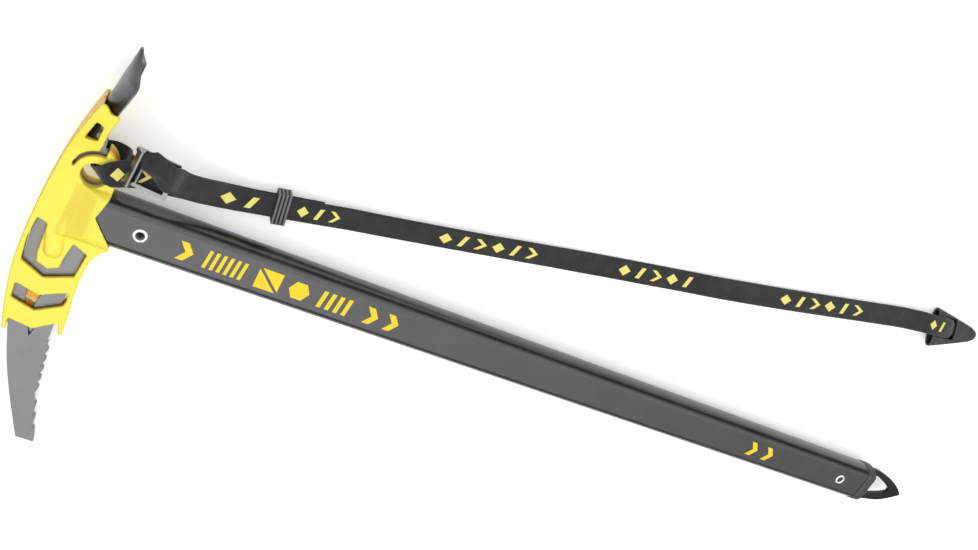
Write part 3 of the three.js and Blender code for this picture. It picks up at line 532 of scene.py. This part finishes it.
class StrapLine:
    # A smooth centreline through the rows, with the way across, the way up and the width at each step
    def __init__(self, rows):
        rows = np.array(rows, float)
        points = rows[:, :3]
        padded = np.vstack([2 * points[0] - points[1], points, 2 * points[-1] - points[-2]])
        middles, alongs, acrosses, widths = [], [], [], []
        for i in range(len(points) - 1):
            p0, p1, p2, p3 = padded[i:i + 4]
            d0, d1, d2 = (np.linalg.norm(b - a) ** 0.5 for a, b in ((p0, p1), (p1, p2), (p2, p3)))
            t1 = ((p1 - p0) / d0 - (p2 - p0) / (d0 + d1) + (p2 - p1) / d1) * d1
            t2 = ((p2 - p1) / d1 - (p3 - p1) / (d1 + d2) + (p3 - p2) / d2) * d1
            count = max(2, round(np.linalg.norm(p2 - p1) / webbing["step"]))
            for t in np.linspace(0, 1, count + 1)[(0 if i == 0 else 1):]:
                bend = -3 * p1 + 3 * p2 - 2 * t1 - t2
                twist = 2 * p1 - 2 * p2 + t1 + t2
                middles.append(p1 + t1 * t + bend * t**2 + twist * t**3)
                alongs.append(t1 + 2 * bend * t + 3 * twist * t**2)
                ease = t * t * (3 - 2 * t)
                across = rows[i, 3:6] * (1 - ease) + rows[i + 1, 3:6] * ease
                acrosses.append(across / np.linalg.norm(across))
                widths.append(rows[i, 6] * (1 - ease) + rows[i + 1, 6] * ease)
        self.middle, self.across, self.width = np.array(middles), np.array(acrosses), np.array(widths)
        up = np.cross(np.array(alongs), self.across)
        self.up = up / np.linalg.norm(up, axis=1)[:, None]
        steps = np.linalg.norm(np.diff(self.middle, axis=0), axis=1)
        self.run = np.concatenate([[0], np.cumsum(steps)])
        self.length = self.run[-1]

    def at(self, run, side, lift):
        # A point on the strap: run along it, side across it and lift off its middle
        def mixed(values):
            return np.array([np.interp(run, self.run, values[:, k]) for k in range(3)])

        share = np.interp(run, self.run, self.width) / webbing["width"]
        return mixed(self.middle) + mixed(self.across) * side * share + mixed(self.up) * lift

    def runNear(self, point):
        return self.run[np.argmin(np.linalg.norm(self.middle - np.array(point), axis=1))]

    def runAtX(self, x):
        # Past the folds at the head, where x only grows
        past = webbing["folded"]
        return float(np.interp(x, self.middle[past:, 0], self.run[past:]))


def inLeash(point):
    return leashFrame @ (Vector(point) * mm)


def webbingOutline(width, thickness):
    # Flat faces, soft rounded selvedges; side and height pairs
    half, thin = width / 2, thickness / 2
    edge = [(half - thin * (1 - math.sin(a)), thin * math.cos(a)) for a in np.linspace(0, math.pi, 7)]
    flats = [(side, thin) for side in np.linspace(-half + thin, half - thin, 9)]
    upper = flats[:-1] + edge
    return upper + [(-side, -height) for side, height in upper]


def makeStrap(name, rows):
    line = StrapLine(rows)
    vertices, places = [], []
    for i in range(len(line.middle)):
        for side, height in webbingOutline(line.width[i], webbing["thickness"]):
            point = line.middle[i] + line.across[i] * side + line.up[i] * height
            vertices.append(inLeash(point))
            places.append((line.run[i] * mm, side * mm))
    count = len(vertices) // len(line.middle)
    last = len(vertices) - count
    faces = [(a, d, c, b) for a, b, c, d in bridgeRings(len(line.middle), count)]
    faces.append(tuple(range(count)))
    faces.append(tuple(reversed(range(last, last + count))))
    strap = linkMesh(name, vertices, faces)
    layer = strap.data.uv_layers.new(name="weave")
    for loop in strap.data.loops:
        layer.data[loop.index].uv = places[loop.vertex_index]
    fixNormals(strap)
    strap.data.set_sharp_from_angle(angle=math.radians(60))
    return strap, line


def declareStrap(strap, node):
    finishPiece(strap, webbingBlack, "axe", [node])


# The bunched fold of webbing over the buckle's frame: its corners seen from above, in millimetres
fold = {
    "corners": [(-15, 44.8), (-8, 48.7), (2.6, 44.9), (4.8, 32.7), (-6.8, 35.2), (-12.9, 37.2)],
    "top": 39.6, "drop": 3.2, "crease": 0.35, "thickness": 1.3, "edge": 0.4, "perSide": 9, "rings": 9,
}


def makeFold(values):
    corners = [Vector(corner) for corner in values["corners"]]
    outline = []
    for i, corner in enumerate(corners):
        following = corners[(i + 1) % len(corners)]
        outline += [corner.lerp(following, k / values["perSide"]) for k in range(values["perSide"])]
    centre = sum(corners, Vector((0, 0))) / len(corners)
    vertices, faces = [], []
    count, rings = len(outline), values["rings"]
    for r in range(1, rings + 1):
        share = r / rings
        for spot in outline:
            place = centre.lerp(spot, share)
            crease = values["crease"] * math.sin(0.5 * (place.x + 1.6 * place.y))
            height = values["top"] - values["drop"] * share**3 - crease * (1 - share)
            vertices.append(inLeash((place.x, place.y, height)))
    vertices.append(inLeash((centre.x, centre.y, values["top"])))
    for r in range(rings - 1):
        for i in range(count):
            j = (i + 1) % count
            faces.append((r * count + i, (r + 1) * count + i, (r + 1) * count + j, r * count + j))
    for i in range(count):
        faces.append((len(vertices) - 1, i, (i + 1) % count))
    piece = linkMesh("strap_fold", vertices, faces)
    fixNormals(piece)
    layer = piece.data.uv_layers.new(name="weave")
    for loop in piece.data.loops:
        layer.data[loop.index].uv = piece.data.vertices[loop.vertex_index].co.xy
    wall = piece.modifiers.new("wall", "SOLIDIFY")
    wall.thickness = values["thickness"] * mm
    wall.offset = -1
    edge = piece.modifiers.new("edge", "BEVEL")
    edge.width = values["edge"] * mm
    edge.segments = 3
    settle(piece)
    finishPiece(piece, webbingBlack, "axe")
    return piece


strapFold = makeFold(fold)
mainStrap, mainLine = makeStrap("main_strap", mainRows)
hitchStrap, hitchLine = makeStrap("hitch_strap", hitchRows)
returnStrap, returnLine = makeStrap("return_strap", returnRows)
declareStrap(mainStrap, "leash_strap")
declareStrap(hitchStrap, "leash_tail")
declareStrap(returnStrap, "wrist_loop_return")
print("straps laid, main strap", round(mainLine.length), "mm")


# Marks printed on the webbing: groups of simple figures between two places along the strap
strapMarks = {
    "groups": [(28.9, 55.5, 2), (72.5, 100.2, 3), (158.1, 226.5, 6), (280.7, 340.0, 5), (405.1, 479.0, 6),
               (534.3, 550.5, 2)],
    "hitch": [(-21.2, 27.6, 28.4), (-9.5, 31.4, 27.1)],
    "hitchSize": 8.5,
    "height": 7.6,
    "fill": 0.86,
    "lift": 0.05,
    "thick": 0.06,
}


def figureOutline(kind, size, tall):
    # Diamond, slanted bar and arrowhead, in a box of the given size
    if kind == 0:
        return [(0, -tall / 2), (size * 0.42, 0), (0, tall / 2), (-size * 0.42, 0)]
    if kind == 1:
        return [(-size * 0.32, -tall / 2), (-size * 0.02, -tall / 2),
                (size * 0.32, tall / 2), (size * 0.02, tall / 2)]
    return [(-size * 0.4, -tall / 2), (-size * 0.1, -tall / 2), (size * 0.4, 0), (-size * 0.1, tall / 2),
            (-size * 0.4, tall / 2), (size * 0.08, 0)]


def figureOnStrap(line, outline, run, values, vertices, faces):
    low = webbing["thickness"] / 2 + values["lift"]
    sheets = [[inLeash(line.at(run + along, side, level)) for along, side in outline]
              for level in (low, low + values["thick"])]
    addFlatFigure(vertices, faces, *sheets)


def makeStrapMarks(line, values):
    vertices, faces = [], []
    for start, end, count in values["groups"]:
        first, last = line.runAtX(start), line.runAtX(end)
        pitch = (last - first) / count
        for k in range(count):
            outline = figureOutline(k % 3, pitch * values["fill"], values["height"])
            figureOnStrap(line, outline, first + pitch * (k + 0.5), values, vertices, faces)
    for k, place in enumerate(values["hitch"]):
        outline = figureOutline(2 * k, values["hitchSize"], values["height"])
        figureOnStrap(hitchLine, outline, hitchLine.runNear(place), values, vertices, faces)
    marks = linkMesh("strap_marks", vertices, faces, smooth=False)
    fixNormals(marks)
    finishPiece(marks, strapPrint, "axe")


makeStrapMarks(mainLine, strapMarks)


# Geometry Nodes: copies of a template at every point of a guide mesh, turned as the guide says
def repeatAlong(name, template, spots, scale):
    guide = bpy.data.meshes.new(name + "_guide")
    guide.from_pydata([spot[0] for spot in spots], [], [])
    turns = guide.attributes.new("turn", "FLOAT_VECTOR", "POINT")
    turns.data.foreach_set("vector", [value for spot in spots for value in spot[1]])
    piece = bpy.data.objects.new(name, guide)
    scene.collection.objects.link(piece)
    tree = bpy.data.node_groups.new(name + "_tree", "GeometryNodeTree")
    tree.interface.new_socket(name="Geometry", in_out="INPUT", socket_type="NodeSocketGeometry")
    shape = tree.interface.new_socket(name="Template", in_out="INPUT", socket_type="NodeSocketObject")
    size = tree.interface.new_socket(name="Size", in_out="INPUT", socket_type="NodeSocketFloat")
    finish = tree.interface.new_socket(name="Material", in_out="INPUT", socket_type="NodeSocketMaterial")
    tree.interface.new_socket(name="Geometry", in_out="OUTPUT", socket_type="NodeSocketGeometry")
    given = tree.nodes.new("NodeGroupInput")
    made = tree.nodes.new("NodeGroupOutput")
    source = addNode(tree, "GeometryNodeObjectInfo", {"Object": given.outputs["Template"]})
    turn = addNode(tree, "GeometryNodeInputNamedAttribute", data_type="FLOAT_VECTOR")
    turn.inputs["Name"].default_value = "turn"
    toTurn = addNode(tree, "FunctionNodeEulerToRotation", {0: turn.outputs["Attribute"]})
    place = addNode(tree, "GeometryNodeInstanceOnPoints",
                    {"Points": given.outputs["Geometry"], "Instance": source.outputs["Geometry"],
                     "Rotation": toTurn.outputs[0], "Scale": given.outputs["Size"]})
    real = addNode(tree, "GeometryNodeRealizeInstances", {"Geometry": place.outputs[0]})
    coat = addNode(tree, "GeometryNodeSetMaterial",
                   {"Geometry": real.outputs[0], "Material": given.outputs["Material"]})
    tree.links.new(coat.outputs[0], made.inputs[0])
    modifier = piece.modifiers.new("repeat", "NODES")
    modifier.node_group = tree
    modifier[shape.identifier] = template
    modifier[size.identifier] = scale
    modifier[finish.identifier] = template.active_material
    settle(piece)
    bpy.data.objects.remove(template)
    return piece


def turnOf(along, up):
    x = Vector(along).normalized()
    z = Vector(up)
    z = (z - x * z.dot(x)).normalized()
    return Matrix((x, z.cross(x), z)).transposed().to_euler()


# Stitches of the sewn joint, where the return strap starts
stitches = {"from": 343, "to": 364, "rows": (-5.2, -1.8, 1.8, 5.2), "reach": 5.2, "pitch": 2.1,
            "length": 1.5, "thread": 0.45}


def stitchTemplate(values):
    bpy.ops.mesh.primitive_uv_sphere_add(segments=10, ring_count=6, radius=0.5)
    thread = bpy.context.object
    for vertex in thread.data.vertices:
        vertex.co = Vector((vertex.co.x * values["length"], vertex.co.y * values["thread"],
                            vertex.co.z * values["thread"] * 0.7)) * mm
    thread.data.materials.append(stitchThread)
    return thread


def stitchSpot(line, run, side, ahead):
    # Where a stitch lies, and the turn that points it the way of (run, side) steps ahead
    surface = webbing["thickness"] / 2
    here = line.at(run, side, surface)
    onward = line.at(run + ahead[0], side + ahead[1], surface)
    over = line.at(run, side, surface + 1)
    return inLeash(here), turnOf(onward - here, over - here)


def makeStitches(line, values):
    first, last = line.runAtX(values["from"]), line.runAtX(values["to"])
    spots = [stitchSpot(line, run, side, (0.5, 0)) for side in values["rows"]
             for run in np.arange(first, last, values["pitch"])]
    spots += [stitchSpot(line, run, side, (0, 0.5)) for run in (first, last)
              for side in np.arange(-values["reach"], values["reach"] + 0.1, values["pitch"])]
    piece = repeatAlong("joint_stitches", stitchTemplate(values), spots, 1.0)
    piece.data.polygons.foreach_set("use_smooth", [True] * len(piece.data.polygons))
    finishPiece(piece, stitchThread, "axe")


makeStitches(mainLine, stitches)
print("marks and stitches made")


# Head: cover halves, plate, adze
coverValues = {"voxel": 0.42, "rounds": 16, "bumpFrom": (-41.5, -5.4), "bumpTo": (-36.9, -26.5),
               "bumpHalf": 4.6, "bumpHeight": 1.6, "skin": 3.4}


def raiseThumb(piece, values):
    # A long rounded swelling on the tongue inside the window
    start, end = (Vector(values[key]) for key in ("bumpFrom", "bumpTo"))
    back = axeFrame.inverted()
    out = nearWay * mm
    for vertex in piece.data.vertices:
        local = back @ vertex.co / mm
        if local.z < values["skin"]:
            continue
        spot = local.xy
        share = max(0, min(1, (spot - start).dot(end - start) / (end - start).length_squared))
        away = (spot - start.lerp(end, share)).length / values["bumpHalf"]
        if away < 1:
            vertex.co += out * values["bumpHeight"] * share * (1 - away * away) ** 0.5


for side in ("near", "far"):
    half = moulded("cover_" + side, "cover_half_" + side, coverValues["voxel"], coverValues["rounds"])
    if side == "near":
        raiseThumb(half, coverValues)
    finishPiece(half, coverYellow, "axe", ["cover_" + side])

plate = machined("head_plate", "pick_plate", 0.25)
finishPiece(plate, plateSteel, "axe", ["head_plate"])
print("cover and pick made")

adzeValues = {
    "stations": [
        (-41.9, 40, 6.2, 8.6, 84), (-41.1, 47, 6.4, 8.6, 82), (-40.3, 54, 8.2, 8.2, 78),
        (-39.4, 60, 11.2, 7.8, 70), (-37.6, 69, 16.4, 7.7, 64), (-36.5, 75, 21, 7.5, 60),
        (-35.8, 79, 23.3, 7, 57), (-35.4, 80.6, 21.5, 6.2, 55), (-34.9, 83.5, 15.6, 4.6, 52),
        (-34.5, 86, 10.6, 3.4, 48), (-33.9, 89, 5.8, 2, 44), (-33.3, 92.6, 2, 0.8, 40),
    ],
    "stem": 2, "blade": 2.6, "edge": 0.7, "stemEnd": 56, "grindStart": 84, "grind": 8.6,
    "across": 40, "along": 106, "bevel": 0.25,
}


def adzeThickness(y, values):
    if y < values["stemEnd"]:
        return values["stem"]
    if y < values["grindStart"]:
        return values["blade"]
    return values["blade"] + (values["edge"] - values["blade"]) * (y - values["grindStart"]) / values["grind"]


def makeAdze(values):
    stations = np.array(values["stations"], float)
    rings = []
    heights = np.linspace(stations[0, 1], stations[-1, 1], values["along"])
    for y in heights:
        x, halfWidth, depth, bend = (np.interp(y, stations[:, 1], stations[:, k]) for k in (0, 2, 3, 4))
        full = math.radians(bend)
        thick = adzeThickness(y, values)
        outer, inner = [], []
        for i in range(values["across"] + 1):
            angle = full * (2 * i / values["across"] - 1)
            z = halfWidth * math.sin(angle) / math.sin(full)
            drop = depth * (1 - math.cos(angle)) / (1 - math.cos(full))
            outer.append((x + drop, y, z))
            inner.append((x + drop + math.cos(angle) * thick, y, z - math.sin(angle) * thick))
        rings.append(outer + inner[::-1])
    count = len(rings[0])
    vertices = [inAxe(*point) for ring in rings for point in ring]
    faces = bridgeRings(len(rings), count)
    half = count // 2
    last = (len(rings) - 1) * count
    for i in range(half - 1):
        j = count - 1 - i
        faces.append((i, i + 1, j - 1, j))
        faces.append((last + j, last + j - 1, last + i + 1, last + i))
    adze = linkMesh("adze_gouge", vertices, faces)
    fixNormals(adze)
    edge = adze.modifiers.new("bevel", "BEVEL")
    edge.width = values["bevel"] * mm
    edge.segments = 2
    edge.limit_method = "ANGLE"
    edge.angle_limit = math.radians(50)
    settle(adze)
    shadeByArea(adze, 35)
    finishPiece(adze, adzeSteel, "axe", ["adze_blade"])


makeAdze(adzeValues)
for node, material in (("adze_rivet_1", rivetSteel), ("adze_rivet_2", rivetSteel),
                       ("head_spacer_near", insertGrey), ("head_spacer_far", insertGrey)):
    frame["nodes"][node].data.materials.clear()
    frame["nodes"][node].data.materials.append(material)
print("adze made")


# Shaft
shaftValues = {"start": -26, "end": 556.7, "halfWidth": 14.75, "halfHeight": 10, "flatHalf": 8.5, "wall": 1.8,
               "rivets": (0, 533.2), "hole": 3.1, "round": 24, "softEnd": 0.3, "innerFlat": 7.9}


def ovalRing(halfWidth, halfHeight, flatHalf, steps):
    quarter = [(flatHalf + (halfWidth - flatHalf) * math.cos(a), halfHeight * math.sin(a))
               for a in np.linspace(0, math.pi / 2, steps + 1)]
    upper = quarter + [(-y, z) for y, z in reversed(quarter)]
    return upper + [(y, -z) for y, z in reversed(upper[1:-1])]


def makeShaft(values):
    wall = values["wall"]
    outer = ovalRing(values["halfWidth"], values["halfHeight"], values["flatHalf"], values["round"])
    inner = ovalRing(values["halfWidth"] - wall, values["halfHeight"] - wall, values["innerFlat"],
                     values["round"])
    start, end, soft = values["start"], values["end"], values["softEnd"]
    stops = [(start, outer, 1 - soft / 12), (start + soft, outer, 1)]
    stops += [(x, outer, 1) for x in np.linspace(start + 10, end - 10, 30)]
    stops += [(end - soft, outer, 1), (end, outer, 1 - soft / 12), (end, inner, 1), (start, inner, 1)]
    vertices = [inAxe(x, y * share, z * share) for x, ring, share in stops for y, z in ring]
    shaft = linkMesh("shaft", vertices, bridgeRings(len(stops), len(outer), closed=True))
    fixNormals(shaft)
    for x in values["rivets"]:
        bpy.ops.mesh.primitive_cylinder_add(vertices=48, radius=values["hole"] * mm, depth=40 * mm)
        drill = bpy.context.object
        drill.data.transform(Matrix.Translation(inAxe(x, 0, 0)) @ axeFrame.to_3x3().to_4x4())
        cut = shaft.modifiers.new("drill", "BOOLEAN")
        cut.operation = "DIFFERENCE"
        cut.object = drill
        cut.solver = "EXACT"
        settle(shaft)
        bpy.data.objects.remove(drill)
    shadeByArea(shaft, 30)
    finishPiece(shaft, shaftBlack, "axe", ["shaft_tube"])


makeShaft(shaftValues)


# Marks printed on the shaft's near flat
shaftMarks = {
    "chevrons": (24.6, 136.2, 149.6, 442.8, 458),
    "bars": [(6, 35.2, 4, 2), (4, 102.8, 5.2, 2.6)],  # how many, the first one's place, pitch and width
    "slant": 1.2,
    "badge": 72,
    "hexagon": (90.4, 6.2),
    "tall": 11.2,
    "lift": 0.02,
    "thick": 0.05,
}


def chevronOutline(x, tall, long=8.6, band=4.4):
    half = tall / 2
    back, tip = x - long / 2, x + long / 2
    return [(back, -half), (back + band, -half), (tip, 0), (back + band, half), (back, half), (tip - band, 0)]


def makeShaftMarks(values):
    tall = values["tall"]
    outlines = [chevronOutline(x, tall) for x in values["chevrons"]]
    slant = values["slant"]
    for count, first, pitch, wide in values["bars"]:
        for k in range(count):
            x = first + k * pitch
            outlines.append([(x, -tall / 2), (x + wide, -tall / 2),
                             (x + wide + slant, tall / 2), (x + slant, tall / 2)])
    badge = values["badge"]
    for sign in (1, -1):  # two triangles, with a diagonal gap between them
        outlines.append([(badge - sign * 7, -6.4 * sign), (badge + sign * 5.6, -6.4 * sign),
                         (badge - sign * 7, 5.4 * sign)])
    middle, radius = values["hexagon"]
    outlines.append([(middle + radius * math.cos(a), radius * math.sin(a))
                     for a in np.linspace(0, 2 * math.pi, 7)[:-1]])
    vertices, faces = [], []
    low = shaftValues["halfHeight"] + values["lift"]
    for outline in outlines:
        sheets = [[inAxe(x, y, level) for x, y in outline] for level in (low, low + values["thick"])]
        addFlatFigure(vertices, faces, *sheets)
    marks = linkMesh("shaft_marks", vertices, faces, smooth=False)
    fixNormals(marks)
    finishPiece(marks, shaftPrint, "axe")


makeShaftMarks(shaftMarks)

# Eyelets: one turned ring, repeated at the two rivet places
eyelet = {"bore": 2.3, "shank": 2.8, "flange": 3.95, "rim": 0.75, "face": 10.05, "sides": 48, "shadeSleeve": 0.25}


def turnedRing(name, profile, sides):
    vertices = []
    for r, z in profile:
        vertices += [Vector((r * math.cos(a), r * math.sin(a), z)) * mm
                     for a in (2 * math.pi * k / sides for k in range(sides))]
    ring = linkMesh(name, vertices, bridgeRings(len(profile), sides, closed=True))
    fixNormals(ring)
    return ring


def eyeletTemplate(values):
    # Half of the ring's section, from the bore over the rolled rim to the shank, as radius and height
    bore, flange, face = values["bore"], values["flange"], values["face"]
    top = face + values["rim"]
    lip = [(bore, face - 1.2), (bore + 0.05, top - 0.5), (bore + 0.35, top - 0.1), (bore + 0.7, top),
           (flange - 0.5, top - 0.2), (flange - 0.05, face + 0.3), (flange, face), (values["shank"], face)]
    profile = lip + [(r, -z) for r, z in reversed(lip)]
    ring = turnedRing("eyelet_template", profile, values["sides"])
    ring.data.materials.append(eyeletMetal)
    return ring


def boreShadeTemplate(values):
    # Dark sleeve that lines the bore below its bright lips: painted shade, standing in for the shade inside
    # the bore
    profile = [(values["bore"] - values["shadeSleeve"], z) for z in (-values["face"], values["face"])]
    profile += [(values["bore"] - 0.02, z) for z in (values["face"], -values["face"])]
    shadeSleeve = turnedRing("bore_template", profile, values["sides"])
    shadeSleeve.data.materials.append(boreDark)
    return shadeSleeve


eyeletSpots = [(inAxe(x, 0, 0), turnOf(shaftWay, nearWay)) for x in shaftValues["rivets"]]
eyelets = repeatAlong("eyelets", eyeletTemplate(eyelet), eyeletSpots, 1.0)
eyelets.data.set_sharp_from_angle(angle=math.radians(50))
finishPiece(eyelets, eyeletMetal, "axe", ["head_rivet", "spike_rivet"])
# Dark sleeves in the bores, painted shade inside the eyelets
boreShades = repeatAlong("eyelet_bores", boreShadeTemplate(eyelet), eyeletSpots, 1.0)
boreShades.data.set_sharp_from_angle(angle=math.radians(50))
finishPiece(boreShades, boreDark, "axe")
print("shaft, marks and eyelets made")

# Spike and collar
spike = machined("spike_blade", "spike", 0.3)
finishPiece(spike, spikeSteel, "axe", ["spike_blade"])
collar = moulded("spike_plug", "spike_collar", 0.4, 5)
finishPiece(collar, collarGrey, "axe", ["spike_plug"])
print("spike made")

# Leash fittings
buckle = moulded("buckle", "buckle_frame", 0.18, 3)
finishPiece(buckle, buckleMetal, "axe", ["buckle"])
cone = moulded("loop_end", "end_cone", 0.35, 6)
finishPiece(cone, coneRubber, "axe", ["loop_end"])
ring = moulded("keeper", "keeper_ring", 0.22, 4)
finishPiece(ring, keeperRubber, "keeper", ["keeper"])

# Ribs round the keeper, one rounded hoop repeated along the strap
ribs = {"middle": (65, 37.05, 7.03), "along": (8, 1.5, -0.45), "across": (-0.17, 0.95, 0.26),
        "low": -10.6, "high": 9.8, "half": 3.6, "corner": 1.2, "thick": 0.62, "pitch": 2.1, "count": 4,
        "sides": 8}


def ribTemplate(values):
    corner, half = values["corner"], values["half"] - 0.1
    loop = []
    for side, level, start in ((values["high"], half, 0), (values["low"], half, 90),
                               (values["low"], -half, 180), (values["high"], -half, 270)):
        centreSide = side - math.copysign(corner, side)
        centreLevel = level - math.copysign(corner, level)
        for a in np.linspace(math.radians(start), math.radians(start + 90), 6):
            y, z = centreSide + corner * math.cos(a), centreLevel + corner * math.sin(a)
            loop.append((y, z, math.cos(a), math.sin(a)))
    sides = values["sides"]
    vertices = []
    for y, z, outY, outZ in loop:
        for k in range(sides):
            a = 2 * math.pi * k / sides
            reach = values["thick"] * math.sin(a)
            ahead = values["thick"] * 1.1 * math.cos(a)
            vertices.append(Vector((ahead, y + outY * reach, z + outZ * reach)) * mm)
    hoop = linkMesh("rib_template", vertices, bridgeRings(len(loop), sides, closed=True))
    fixNormals(hoop)
    hoop.data.materials.append(keeperRubber)
    return hoop


def makeRibs(values):
    along = Vector(values["along"]).normalized()
    up = along.cross(Vector(values["across"]))
    spots = []
    for k in range(values["count"]):
        shift = (k - (values["count"] - 1) / 2) * values["pitch"]
        spots.append((inLeash(Vector(values["middle"]) + along * shift), turnOf(along, up)))
    piece = repeatAlong("keeper_ribs", ribTemplate(values), spots, 1.0)
    finishPiece(piece, keeperRubber, "keeper")


makeRibs(ribs)
print("leash fittings made")


# Light and floor
light = {"floor": 2.5, "floorHeight": -0.0006, "zenith": 1.7, "horizon": 0.12, "dark": 0.3, "bright": 0.75}


def makeWorld(values):
    world = bpy.data.worlds.new("studio")
    world.use_nodes = True
    tree = world.node_tree
    way = tree.nodes.new("ShaderNodeTexCoord").outputs["Generated"]
    height = addNode(tree, "ShaderNodeSeparateXYZ", {0: way}).outputs[2]
    glow = ramp(tree, height, values["dark"], values["bright"], values["horizon"], values["zenith"])
    tree.nodes["Background"].inputs["Color"].default_value = (1, 1, 1, 1)
    tree.links.new(glow, tree.nodes["Background"].inputs["Strength"])
    scene.world = world


def softbox(name, place, target, size, power):
    data = bpy.data.lights.new(name, "AREA")
    data.shape = "DISK"
    data.size = size
    data.energy = power
    lamp = bpy.data.objects.new(name, data)
    lamp.location = place
    lamp.rotation_euler = (Vector(target) - Vector(place)).to_track_quat("-Z", "Y").to_euler()
    scene.collection.objects.link(lamp)


def makeFloor(values):
    size, low = values["floor"], values["floorHeight"]
    corners = [(-size, -size, low), (size, -size, low), (size, size, low), (-size, size, low)]
    floor = linkMesh("floor", corners, [(0, 1, 2, 3)], smooth=False)
    material, tree, shader = startMaterial("floorWhite", Roughness=0.9)
    shader.inputs["Base Color"].default_value = (0.9, 0.9, 0.9, 1)
    shader.inputs["Emission Color"].default_value = (1, 1, 1, 1)
    shader.inputs["Emission Strength"].default_value = 0.25
    floor.data.materials.append(material)


makeWorld(light)
makeFloor(light)
softbox("overheadSoftbox", (-0.1, -1.0, 1.9), (-0.1, 0, 0), 1.4, 2.5)
scene.view_settings.view_transform = "Standard"
print("studio lit")
